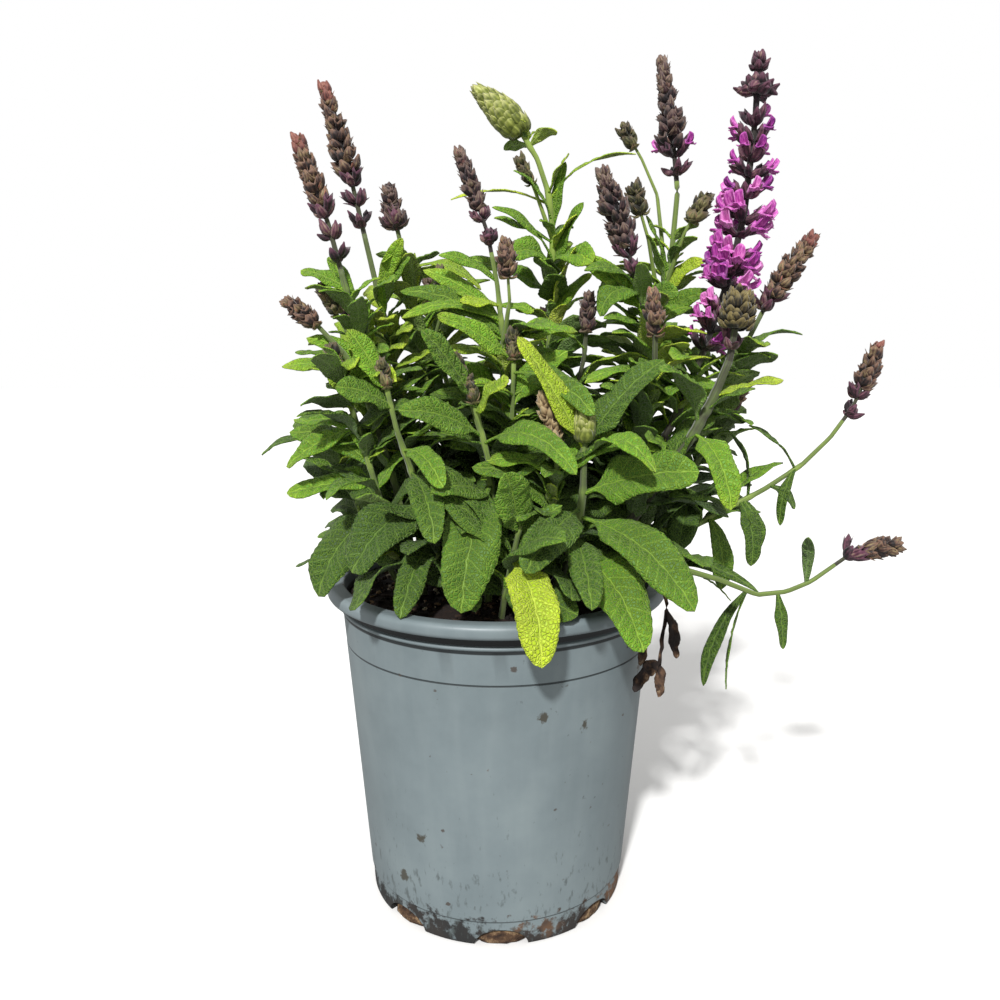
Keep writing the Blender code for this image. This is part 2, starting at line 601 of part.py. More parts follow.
def blade(leaf, outline, thickness, margin=0.0, start=0.0):
    """A closed blade along the leaf's midrib. A margin widens it and a start leaves out its foot, which
    makes the guard that keeps it clear of its neighbours. A keeled blade is flat above and has its
    midrib below; the others fold along the midrib."""
    bm = prism(3 if leaf["keeled"] else 4, len(outline))
    if not leaf["keeled"]:
        split_alike(bm)
    side = (leaf["tip"] - leaf["root"]).cross(leaf["face"]).normalized()
    for vert in bm.verts:
        level = round(vert.co.z)
        across = round(vert.co.x)
        station, share = outline[level]
        if station < start:
            station, share = start, share_at(outline, start)
        point, direction = midrib(leaf, station)
        normal = side.cross(direction).normalized()
        half = max(leaf["half_width"] * share, leaf["least_half_width"]) + margin
        height = vert.co.y * thickness / 2
        if leaf["keeled"]:
            height = -thickness * (1 - abs(across))
        elif 0.2 < station < 0.9:
            height += abs(across) * half * (leaf["fold"] + leaf["wave"] * (-1) ** (level + (across > 0)))
        vert.co = point + side * across * half + normal * height
    turn_outward(bm)
    return bm


def leaf_outline(leaf):
    if leaf["keeled"]:
        return NARROW_LEAF if leaf["half_width"] < NARROW_WIDTH / 2 else SMALL_LEAF
    return LARGE_LEAF if leaf["length"] > LARGE_LEAF_LENGTH else SMALL_LEAF


def make_leaf(root, wish, bend_by):
    """A leaf from its joint: it leaves at slope plus arch and ends at slope less arch."""
    turn, lift, shrink = bend_by
    heading = math.radians(wish["heading"] + turn)
    slope = math.radians(wish["slope"] + lift)
    arch = math.radians(wish["arch"])
    tilt = math.radians(wish["tilt"])
    ahead = Vector((math.cos(heading), math.sin(heading), 0))
    up = Vector((0, 0, 1))
    half_chord = wish["chord"] * shrink / 2
    bend = root + (ahead * math.cos(slope + arch) + up * math.sin(slope + arch)) * half_chord / math.cos(arch)
    tip = root + (ahead * math.cos(slope) + up * math.sin(slope)) * half_chord * 2
    upright = up * math.cos(slope) - ahead * math.sin(slope)
    face = upright * math.cos(tilt) + wish["towards"] * math.sin(tilt)
    return dict(
        root=root, bend=bend, tip=tip, face=face, half_width=wish["width"] * shrink / 2,
        least_half_width=PETIOLE_HALF_WIDTH, length=half_chord * 2, keeled=wish["keeled"],
        fold=0 if wish["keeled"] else BLADE_FOLD, wave=0 if wish["keeled"] else BLADE_WAVE,
    )


# Spikes. A ring is (distance along the stem, radius, rise, flare, turn): every second corner of it,
# from the turn on, is raised by the rise and spread by the flare, and is a calyx's or a scale's tip.

def cone_reach(shape, share):
    """A cone's radius at a share of its length, as a share of the widest."""
    stations = CONE_SHAPES[shape]
    for (low, below), (high, above) in zip(stations, stations[1:]):
        if share <= high:
            return below + (above - below) * (share - low) / (high - low)
    return stations[-1][1]


def dense_rings(start, length, radius, whorls, shape):
    """A cone of overlapping scales: each whorl has a waist and a row of raised tips."""
    rings = []
    for i in range(whorls):
        reach = radius * cone_reach(shape, (i + 0.45) / whorls)
        rings.append((start + length * i / whorls, 0.62 * reach, 0, 0, 0))
        tips = start + length * (i + 0.45) / whorls
        rings.append((tips, 0.72 * reach, 0.42 * length / whorls, 0.28 * reach, i % 2))
    return rings


def loose_rings(distance, reach, stalk, turn):
    """A whorl of calyces that stands out from the bare stalk."""
    rise = WHORL_RISE * reach / WHORL_RADIUS
    flare = (distance + 0.8 * MM, 0.5 * reach, rise, 0.5 * reach, turn)
    return [(distance - 1.4 * MM, stalk, 0, 0, 0), flare, (distance + 2.2 * MM, stalk, 0, 0, 0)]


def lofted(path, sides, rings, rng):
    """One closed solid through the rings, in order."""
    bm = prism(sides, len(rings))
    for vert in bm.verts:
        distance, reach, rise, flare, turn = rings[round(vert.co.z)]
        around = math.atan2(vert.co.y, vert.co.x)
        if round(around * sides / (2 * math.pi)) % 2 == turn:
            unevenness = rng.uniform(1 - WHORL_UNEVENNESS, 1 + WHORL_UNEVENNESS)
            distance += rise * unevenness
            reach += flare * unevenness
        vert.co = outward_point(path, distance, around, reach)
    turn_outward(bm)
    return bm


def outward_point(path, distance, around, reach):
    point, direction = point_at(path, distance)
    turn = direction.to_track_quat("Z", "Y").to_matrix()
    return point + turn @ Vector((math.cos(around), math.sin(around), 0)) * reach


def petal(root, outward, up, spread, length, width, curl):
    """The midrib of a petal: it leaves outward by its spread and curls up, or down."""
    ahead = (outward * spread + up * (1 - spread)).normalized()
    bend = root + ahead * length * 0.55
    return dict(
        root=root, bend=bend, tip=bend + (ahead + up * curl).normalized() * length * 0.45,
        face=(up - outward * 0.3).normalized(), half_width=width / 2, least_half_width=0.4 * MM,
        keeled=False, fold=0, wave=0,
    )


def flower_petals(path, distance, reach, turn, count):
    """The hood and the lower lip of each open flower of a whorl, rooted in the tips of its calyces."""
    up = point_at(path, distance)[1]
    for i in range(count):
        around = 2 * math.pi * (2 * i + turn) / 8
        centre = point_at(path, distance + 0.6 * WHORL_RISE)[0]
        outward = (outward_point(path, distance + 0.6 * WHORL_RISE, around, 1) - centre).normalized()
        mouth = centre + outward * reach * 0.62
        hood = petal(mouth, outward, up, 0.6, HOOD_LENGTH, HOOD_WIDTH, 0.9)
        yield blade(hood, HOOD, HOOD_DEPTH)
        lip = petal(mouth - up * 0.5 * MM, outward, up, 0.85, LIP_LENGTH, LIP_WIDTH, -0.8)
        yield blade(lip, LOWER_LIP, LIP_THICKNESS)


def spike_pieces(path, row, stalk, rng):
    """The solid of a spike, the petals of its open flowers, and where it starts."""
    length, radius, whorls, loose, _ = row["spike"]
    total = path_lengths(path)[-1]
    start = total - length * MM
    cone_length = length * MM * (row.get("cone_share", 0.5) if loose else 1)
    cone_start = total - cone_length
    reach = WHORL_RADIUS * min(radius, WIDEST_WHORL) / 5.5
    rings = [(start + GAP / 2, stalk, 0, 0, 0)] if loose else []
    heights = [start + 3 * MM + (cone_start - start - 3 * MM) * (i + 0.45) / loose for i in range(loose)]
    for i, distance in enumerate(heights):
        rings += loose_rings(distance, reach, stalk * 0.9, i % 2)
    first = GAP / 2 if not loose else 0
    shape = row.get("cone", "blunt")
    rings += dense_rings(cone_start + first, cone_length - first, radius * MM, whorls, shape)
    pieces = [lofted(path, 8 if radius * MM > WIDE_CONE else 6, rings, rng)]
    if row.get("open_flowers"):
        pieces += flower_petals(path, heights[-1], reach, (loose - 1) % 2, row["open_flowers"])
    return pieces, start


def bloom_pieces(path, start, end, stalk, rng):
    """The length in bloom: whorls of calyces, most of them with an open flower."""
    rings = [(start + GAP / 2, stalk, 0, 0, 0)]
    pieces = []
    for i in range(BLOOM_WHORLS):
        distance = start + 5 * MM + (end - start - 10 * MM) * i / (BLOOM_WHORLS - 1)
        rings += loose_rings(distance, WHORL_RADIUS, stalk, i % 2)
        pieces += flower_petals(path, distance, WHORL_RADIUS, i % 2, BLOOM_FLOWERS)
    rings.append((end - GAP / 2, stalk, 0, 0, 0))
    return [lofted(path, 8, rings, rng)] + pieces


# Growing the plant

class Crowd:
    """Everything that is in place, so that a new leaf can be bent clear of it."""

    def __init__(self):
        self.members = []

    def add(self, bm, owner=None):
        self.members.append((*bounds(bm), BVHTree.FromBMesh(bm), owner))

    def add_object(self, obj, owner=None):
        bm = bmesh.new()
        bm.from_mesh(obj.data)
        bm.transform(obj.matrix_world)
        self.add(bm, owner)
        bm.free()

    def hits(self, bm, but=None):
        """Whether a solid crosses anything in place, apart from what the given stem owns."""
        low, high = bounds(bm)
        tree = BVHTree.FromBMesh(bm)
        for other_low, other_high, other, owner in self.members:
            apart = any(high[i] < other_low[i] or low[i] > other_high[i] for i in range(3))
            if not apart and (owner is None or owner != but) and tree.overlap(other):
                return True
        return False


def bounds(bm):
    low = [min(v.co[i] for v in bm.verts) for i in range(3)]
    high = [max(v.co[i] for v in bm.verts) for i in range(3)]
    return low, high


def leafy_length(row, path):
    """How much of a stem's path can bear leaves: all below its spike and its length in bloom."""
    total = path_lengths(path)[-1]
    spike = row["spike"][0] * MM if row["spike"] else 0
    return total - spike - row.get("bloom", 0) * MM - 2 * MM


def joint(stem, height):
    """The distance along a stem of the joint at a height in millimetres."""
    return min(distance_at_height(stem["path"], height * MM), leafy_length(stem, stem["path"]))


def leaf_size(height):
    """The length and width in millimetres of a leaf that grows at a height."""
    for top, length, width in LEAF_SIZES:
        if height < top:
            return length, width
    return LEAF_SIZES[-1][1:]


def wished_leaves(name, stem):
    """The pairs of leaves that a stem would bear by the plant's rule, each pair crossing the last."""
    rng = random.Random(f"leaves of {name}")
    first_turn = rng.uniform(0, 90)
    for i, height in enumerate(stem["pairs"]):
        distance = joint(stem, height)
        base_length, base_width = leaf_size(height)
        for side in (0, 180):
            heading = first_turn + 90 * i + side + rng.uniform(-15, 15)
            arch = rng.uniform(16, 34)
            point = point_at(stem["path"], distance)[0]
            yield dict(
                stem=name, distance=distance, heading=heading, arch=arch,
                tilt=rng.uniform(20, 50),
                slope=rng.uniform(2, 20) if height < 210 else rng.uniform(12, 34),
                chord=base_length * MM * rng.uniform(0.86, 1.06),
                width=base_width * MM * rng.uniform(0.9, 1.1),
                towards=Vector((point.x, point.y, 0)).normalized(),
                keeled=True,
            )


def placed_leaves(stems):
    """The leaves read from the photograph, whose tips are given."""
    for name, height, tip, arch, width, tilt in PLACED_LEAVES:
        distance = joint(stems[name], height)
        reach = Vector(tip) * MM - point_at(stems[name]["path"], distance)[0]
        heading = math.degrees(math.atan2(reach.y, reach.x))
        slope = math.degrees(math.asin(reach.z / reach.length))
        yield dict(
            stem=name, distance=distance, heading=heading, slope=slope, arch=arch, tilt=tilt,
            chord=reach.length, width=width * MM, towards=Vector((0, -1, 0)), keeled=width <= 10,
        )


def fit_leaf(stem, wish, crowd):
    """The leaf under the first bend that clears everything in place, or None."""
    point = point_at(stem["path"], wish["distance"])[0]
    for bend_by in TRIES:
        turned_to = math.radians(wish["heading"] + bend_by[0])
        outward = Vector((math.cos(turned_to), math.sin(turned_to), 0))
        leaf = make_leaf(point + outward * ROOT_FROM_AXIS, wish, bend_by)
        clear_of_stem = (stem["radius"] + 1.6 * MM) / leaf["length"]
        outline = leaf_outline(leaf)
        guard = blade(dict(leaf, keeled=False), outline, GUARD_THICKNESS, GUARD_MARGIN, clear_of_stem)
        whole = blade(leaf, outline, BLADE_THICKNESS, GUARD_MARGIN)
        hit = crowd.hits(guard) or crowd.hits(whole, but=wish["stem"])
        guard.free()
        whole.free()
        if not hit:
            return leaf
    return None


def finish_node(name, base, pieces, collection, material):
    """Fuses the pieces to their base and moves the result to the plant's own collection."""
    work = base.users_collection[0]
    work.objects.unlink(base)
    collection.objects.link(base)
    if pieces:
        union = base.modifiers.new("union", "BOOLEAN")
        union.operation = "UNION"
        union.operand_type = "COLLECTION"
        union.collection = work
        apply_modifiers(base)
        for piece in pieces:
            bpy.data.objects.remove(piece, do_unlink=True)
    bpy.data.collections.remove(work)
    base.name = base.data.name = name
    base.data.materials.clear()
    base.data.materials.append(material)


def grow_spike_node(name, pieces, collection, material, crowd):
    """A spike, or the length in bloom, as a node that stands on the end of its stem."""
    work = make_collection(f"{name}_work", hidden=True)
    solids = [add_mesh_object(name, bm, work) for bm in pieces]
    for obj in solids:
        crowd.add_object(obj)
    finish_node(name, solids[0], solids[1:], collection, material)


def grow_shoot(name, path, radius, row, work, collection, materials, crowd, rng):
    """One shoot: its tube, and the spike it ends in, fused to it or as a node of its own."""
    end = path_lengths(path)[-1]
    tip_radius = radius * TIP_THINNING
    fused = []
    if row["spike"]:
        pieces, start = spike_pieces(path, row, tip_radius, rng)
        colour = row["spike"][-1]
        if colour:
            grow_spike_node(f"{name}_spike", pieces, collection, materials[colour], crowd)
            end = start - GAP / 2
        else:
            fused = [add_mesh_object(f"{name}_bud", bm, work) for bm in pieces]
            end = start + 3 * MM
    if "bloom" in row:
        start = end - row["bloom"] * MM
        pieces = bloom_pieces(path, start, end, tip_radius, rng)
        grow_spike_node(f"{name}_bloom", pieces, collection, materials["bloom"], crowd)
        end = start - GAP / 2
    stalk = tube(name, stretch(path, 0, end), radius, tip_radius, work)
    return [stalk] + fused


def grow(collection, materials, crowd, stems):
    """Grows every stem and spike, then fits the leaves between them and fuses each stem with its own."""
    solids = {}
    for name, stem in stems.items():
        work = make_collection(f"{name}_work", hidden=True)
        rng = random.Random(name)
        shoots = [(name, stem["path"], stem["radius"], stem)]
        for i, branch in enumerate(stem.get("branches", ())):
            origin = point_at(stem["path"], distance_at_height(stem["path"], branch["start"] * MM))[0]
            route = smooth_path([origin / MM] + [Vector(p) for p in branch["path"]])
            shoots.append((f"{name}_side_{i}", route, BRANCH_RADIUS, branch))
        solids[name] = []
        for shoot in shoots:
            solids[name] += grow_shoot(*shoot, work, collection, materials, crowd, rng)
        for obj in solids[name]:
            crowd.add_object(obj, name)
    wishes = [wish for name, stem in stems.items() for wish in wished_leaves(name, stem)]
    wishes.sort(key=lambda wish: -wish["chord"])
    leaves = {name: [] for name in stems}
    dropped = 0
    for wish in list(placed_leaves(stems)) + wishes:
        name = wish["stem"]
        leaf = fit_leaf(stems[name], wish, crowd)
        if leaf:
            bm = blade(leaf, leaf_outline(leaf), BLADE_THICKNESS)
            crowd.add(bm, name)
            leaves[name].append(bm)
        else:
            dropped += 1
    for name, (base, *others) in solids.items():
        work = base.users_collection[0]
        others += [add_mesh_object(f"{name}_leaf", bm, work) for bm in leaves[name]]
        finish_node(f"{name}_stem", base, others, collection, materials["leaf"])
    print(f"leaves grown {sum(len(v) for v in leaves.values())}, left out for want of room {dropped}")


def grow_withered_leaf(path, collection, material, crowd):
    work = make_collection("withered_work", hidden=True)
    stalk = tube("withered_leaf", path, WITHERED_RADIUS * MM, WITHERED_RADIUS * MM, work)
    blades = []
    for share, tip, arch, width in WITHERED_BLADES:
        root = point_at(path, path_lengths(path)[-1] * share)[0]
        reach = Vector(tip) * MM - root
        wish = dict(
            heading=math.degrees(math.atan2(reach.y, reach.x)),
            slope=math.degrees(math.asin(reach.z / reach.length)),
            arch=arch, tilt=60, chord=reach.length, width=width * MM,
            towards=Vector((0.5, -0.9, 0)), keeled=False,
        )
        leaf = make_leaf(root, wish, (0, 0, 1))
        blades.append(add_mesh_object("withered_blade", blade(leaf, SMALL_LEAF, BLADE_THICKNESS), work))
    for obj in [stalk] + blades:
        crowd.add_object(obj)
    finish_node("withered_leaf", stalk, blades, collection, material)


def main():
    clear_scene()
    plant = make_collection("potted_salvia")
    drains = make_collection("drain_cutters", hidden=True)
    holes = make_collection("hole_cutters", hidden=True)
    materials = {name: make_material(name) for name in COLOURS}
    stems = {}
    for name, row in STEMS.items():
        stems[name] = dict(row, radius=row["radius"] * MM, path=rooted_path(row["path"]))
    withered = rooted_path(WITHERED_STALK)
    stalks = {name: (stem["path"], stem["radius"]) for name, stem in stems.items()}
    stalks["withered_leaf"] = (withered, WITHERED_RADIUS * MM)
    crowd = Crowd()
    crowd.add_object(build_pot(plant, drains, materials["pot"]))
    crowd.add_object(build_soil(plant, holes, materials["soil"], stalks))
    grow_withered_leaf(withered, plant, materials["withered"], crowd)
    grow(plant, materials, crowd, stems)


main()
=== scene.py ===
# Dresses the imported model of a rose-flowered salvia in a grey nursery pot.
# Each stem, spike and bloom of the frame is replaced by a finer one grown on the same joints.
# Tables are in millimetres and degrees, the scene is in metres, and -Y faces the viewer.

import json
import math
import random

import bmesh
import bpy
import numpy as np
from mathutils import Matrix, Vector, noise
from mathutils.kdtree import KDTree

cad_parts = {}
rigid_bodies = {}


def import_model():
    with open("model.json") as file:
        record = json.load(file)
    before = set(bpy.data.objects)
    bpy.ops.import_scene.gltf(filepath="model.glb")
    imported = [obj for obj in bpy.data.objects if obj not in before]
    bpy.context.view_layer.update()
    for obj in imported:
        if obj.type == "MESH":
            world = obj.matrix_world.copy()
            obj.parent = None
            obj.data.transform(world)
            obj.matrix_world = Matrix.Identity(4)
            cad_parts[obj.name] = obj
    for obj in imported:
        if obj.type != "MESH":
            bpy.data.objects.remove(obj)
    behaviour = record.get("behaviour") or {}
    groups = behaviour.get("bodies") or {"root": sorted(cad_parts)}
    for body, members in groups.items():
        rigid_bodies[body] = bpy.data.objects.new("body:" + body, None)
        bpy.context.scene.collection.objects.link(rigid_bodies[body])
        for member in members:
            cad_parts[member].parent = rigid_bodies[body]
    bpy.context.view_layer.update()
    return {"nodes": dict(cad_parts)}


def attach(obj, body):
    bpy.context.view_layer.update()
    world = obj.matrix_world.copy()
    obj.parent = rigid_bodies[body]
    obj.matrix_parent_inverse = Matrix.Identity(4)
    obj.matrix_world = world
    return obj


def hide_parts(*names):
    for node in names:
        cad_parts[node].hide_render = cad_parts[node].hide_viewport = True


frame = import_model()
# vector noise starts from the clock unless it is seeded
noise.seed_set(5)

mm = 0.001
sheet = 80 * mm  # one unit of the UV maps, so that a pattern keeps its real size on every leaf


# Materials

def linear(hexColour):
    # sRGB to linear
    parts = [int(hexColour[i:i + 2], 16) / 255 for i in (1, 3, 5)]
    return [c / 12.92 if c <= 0.04045 else ((c + 0.055) / 1.055) ** 2.4 for c in parts] + [1]


def addNode(tree, kind, inputs, **settings):
    # an input is a constant or the output of another node
    node = tree.nodes.new(kind)
    for key, value in settings.items():
        setattr(node, key, value)
    for key, value in inputs.items():
        if isinstance(value, bpy.types.NodeSocket):
            tree.links.new(value, node.inputs[key])
        else:
            node.inputs[key].default_value = value
    return node


def newMaterial(name, **shaderSettings):
    material = bpy.data.materials.new(name)
    material.use_nodes = True
    tree = material.node_tree
    shader = tree.nodes["Principled BSDF"]
    for key, value in shaderSettings.items():
        shader.inputs[key.replace("_", " ")].default_value = value
    return material, tree, shader


def bladePlace(tree):
    return addNode(tree, "ShaderNodeUVMap", {}, uv_map="blade").outputs["UV"]


def objectPlace(tree):
    return addNode(tree, "ShaderNodeTexCoord", {}).outputs["Object"]


def tintOf(tree):
    return addNode(tree, "ShaderNodeAttribute", {}, attribute_name="tint").outputs["Fac"]


def splitPlace(tree, place):
    return addNode(tree, "ShaderNodeSeparateXYZ", {0: place}).outputs


def stretched(tree, place, scale):
    return addNode(tree, "ShaderNodeMapping", {"Vector": place, "Scale": scale}).outputs[0]


def clouds(tree, place, size, detail, roughness=0.5, dimensions="3D"):
    inputs = {"Vector": place, "Scale": 1 / size, "Detail": detail, "Roughness": roughness}
    return addNode(tree, "ShaderNodeTexNoise", inputs, noise_dimensions=dimensions).outputs


def calculate(tree, operation, *values, clamp=False):
    inputs = dict(enumerate(values))
    return addNode(tree, "ShaderNodeMath", inputs, operation=operation, use_clamp=clamp).outputs[0]


def moved(tree, operation, *values, **named):
    inputs = dict(enumerate(values)) | named
    return addNode(tree, "ShaderNodeVectorMath", inputs, operation=operation).outputs[0]


def remap(tree, value, low, high, first, last):
    inputs = {"Value": value, "From Min": low, "From Max": high, "To Min": first, "To Max": last}
    return addNode(tree, "ShaderNodeMapRange", inputs).outputs["Result"]


def blend(tree, share, first, second):
    inputs = {"Factor": share, "A": first, "B": second}
    return addNode(tree, "ShaderNodeMix", inputs, data_type="RGBA").outputs["Result"]


def colourRamp(tree, value, stops):
    node = addNode(tree, "ShaderNodeValToRGB", {0: value})
    elements = node.color_ramp.elements
    while len(elements) < len(stops):
        elements.new(0.5)
    for element, (place, colour) in zip(elements, stops):
        element.position = place
        element.color = linear(colour)
    return node.outputs["Color"]


def coat(tree, shader, colour, height, strength, depth):
    # colour and relief of a finish
    tree.links.new(colour, shader.inputs["Base Color"])
    bump = addNode(tree, "ShaderNodeBump", {"Height": height, "Strength": strength, "Distance": depth})
    tree.links.new(bump.outputs["Normal"], shader.inputs["Normal"])


leafNet = dict(
    cell=1.4 * mm, line=0.24, wanderSize=3.5 * mm, wander=1.6 * mm, slant=-0.75, rung=2.6 * mm,
    sideVein=(0.15 * mm, 0.65 * mm, 0.5), midVein=(0.15 * mm, 0.6 * mm, 0.9), mottle=16 * mm,
)


def nettedLeaf(name, flesh, veins, share, relief, roughness, sheen):
    # Salvia leaf, grown: a net of pale sunk veins round small raised cells, with fine hairs that dull it.
    # The real net is about 1 mm. It is drawn 1.4 mm wide, because a finer one doesn't show in the render.
    material, tree, shader = newMaterial(
        name, Roughness=roughness, IOR=1.42, Sheen_Weight=sheen, Sheen_Roughness=0.5,
    )
    uv = bladePlace(tree)
    wander = clouds(tree, uv, leafNet["wanderSize"] / sheet, 2, dimensions="2D")["Color"]
    shift = moved(tree, "SUBTRACT", wander, (0.5, 0.5, 0.5))
    place = moved(tree, "ADD", uv, moved(tree, "SCALE", shift, Scale=leafNet["wander"] / sheet))
    cell = addNode(
        tree, "ShaderNodeTexVoronoi", {"Vector": place, "Scale": sheet / leafNet["cell"]},
        voronoi_dimensions="2D", feature="DISTANCE_TO_EDGE",
    )
    vein = remap(tree, cell.outputs["Distance"], 0, leafNet["line"], 1, 0)
    split = splitPlace(tree, place)
    aside = calculate(tree, "ABSOLUTE", calculate(tree, "SUBTRACT", split["X"], 0.5))
    slant = calculate(tree, "MULTIPLY_ADD", aside, leafNet["slant"], split["Y"])
    rung = calculate(tree, "PINGPONG", slant, leafNet["rung"] / sheet)
    for away, (near, far, depth) in ((rung, leafNet["sideVein"]), (aside, leafNet["midVein"])):
        vein = calculate(tree, "MAXIMUM", vein, remap(tree, away, near / sheet, far / sheet, depth, 0))
    tint = tintOf(tree)
    mottle = clouds(tree, objectPlace(tree), leafNet["mottle"], 3)["Fac"]
    light = remap(tree, mottle, 0.3, 0.7, 0.78, 1.22)
    body = moved(tree, "SCALE", colourRamp(tree, tint, flesh), Scale=light)
    share = calculate(tree, "MULTIPLY", vein, share, clamp=True)
    colour = blend(tree, share, body, colourRamp(tree, tint, veins))
    coat(tree, shader, colour, calculate(tree, "SUBTRACT", 1.0, vein), 1.0, relief)
    return material


def squareStalk():
    # Salvia stalk, grown: green and pale at its joints, brown-purple where it hardens, finely grooved.
    material, tree, shader = newMaterial(
        "salvia stalk, grown", Roughness=0.6, IOR=1.42, Sheen_Weight=0.25, Sheen_Roughness=0.5,
    )
    along = stretched(tree, bladePlace(tree), (60, sheet / (14 * mm), 1))
    streak = clouds(tree, along, 1, 3, dimensions="2D")["Fac"]
    spread = calculate(tree, "SUBTRACT", streak, 0.5)
    mixed = calculate(tree, "MULTIPLY_ADD", spread, 0.45, tintOf(tree))
    stops = ((0, "#150e10"), (0.28, "#38332a"), (0.5, "#55603a"), (0.72, "#6b7f3c"), (1, "#8fa548"))
    coat(tree, shader, colourRamp(tree, mixed, stops), streak, 0.5, 0.3 * mm)
    return material


def ribbedSepal(name, tip, tipFrom, stops):
    # Calyx and bract, grown: leathery, ribbed lengthwise about every 0.8 mm, darker between the ribs.
    material, tree, shader = newMaterial(
        f"{name}, grown", Roughness=0.62, IOR=1.42, Sheen_Weight=0.2, Sheen_Roughness=0.5,
    )
    halfRib = 0.5 / 7
    split = splitPlace(tree, bladePlace(tree))
    rib = remap(tree, calculate(tree, "PINGPONG", split["X"], halfRib), 0, halfRib, -0.16, 0.16)
    blotch = clouds(tree, objectPlace(tree), 2.5 * mm, 2)["Fac"]
    blotch = remap(tree, blotch, 0.3, 0.7, -0.2, 0.2)
    total = calculate(tree, "ADD", calculate(tree, "ADD", tintOf(tree), rib), blotch, clamp=True)
    end = remap(tree, split["Y"], tipFrom, 1, 0, 0.85)
    colour = blend(tree, end, colourRamp(tree, total, stops), linear(tip))
    coat(tree, shader, colour, total, 0.6, 0.35 * mm)
    return material


def velvetPetal():
    # Corolla, grown: velvety, pale in the throat, with darker veins.
    material, tree, shader = newMaterial(
        "salvia corolla, grown", Roughness=0.5, IOR=1.4, Sheen_Weight=0.35, Sheen_Roughness=0.4,
    )
    uv = bladePlace(tree)
    vein = clouds(tree, stretched(tree, uv, (14, 3, 1)), 1, 2, dimensions="2D")["Fac"]
    vein = remap(tree, vein, 0.35, 0.65, -0.22, 0.22)
    total = calculate(tree, "ADD", tintOf(tree), vein, clamp=True)
    stops = ((0, "#5f1c6a"), (0.3, "#9f3596"), (0.6, "#c653b2"), (1, "#ec9ad8"))
    throat = remap(tree, splitPlace(tree, uv)["Y"], 0, 0.45, 0.4, 0)
    colour = blend(tree, throat, colourRamp(tree, total, stops), linear("#efb4e6"))
    coat(tree, shader, colour, vein, 0.4, 0.25 * mm)
    return material


def witheredBlade():
    # Dead salvia leaf, dried: brittle, nearly black where it rotted, tan where it bleached.
    material, tree, shader = newMaterial("dead leaf, dried", Roughness=0.8, IOR=1.45)
    place = objectPlace(tree)
    patch = clouds(tree, place, 9 * mm, 4, 0.6)["Fac"]
    stops = ((0.36, "#120d0b"), (0.5, "#241813"), (0.6, "#5f4633"), (0.7, "#cdb592"))
    wrinkle = clouds(tree, place, 2 * mm, 3)["Fac"]
    coat(tree, shader, colourRamp(tree, patch, stops), wrinkle, 0.8, 0.6 * mm)
    return material


potMarks = dict(
    # painted shade: middle height, half height and depth of each dark band, under the lip, under the band
    # and in the two rings
    paintedShade=(
        (151.0 * mm, 2.9 * mm, 0.97), (145.9 * mm, 1.0 * mm, 0.92),
        (130.7 * mm, 0.55 * mm, 0.8), (12.7 * mm, 0.6 * mm, 0.6),
    ),
    # distance apart, width as a share of it, and colour
    specks=((13 * mm, 0.075, "#4a4038"), (31 * mm, 0.085, "#3d3524")),
)


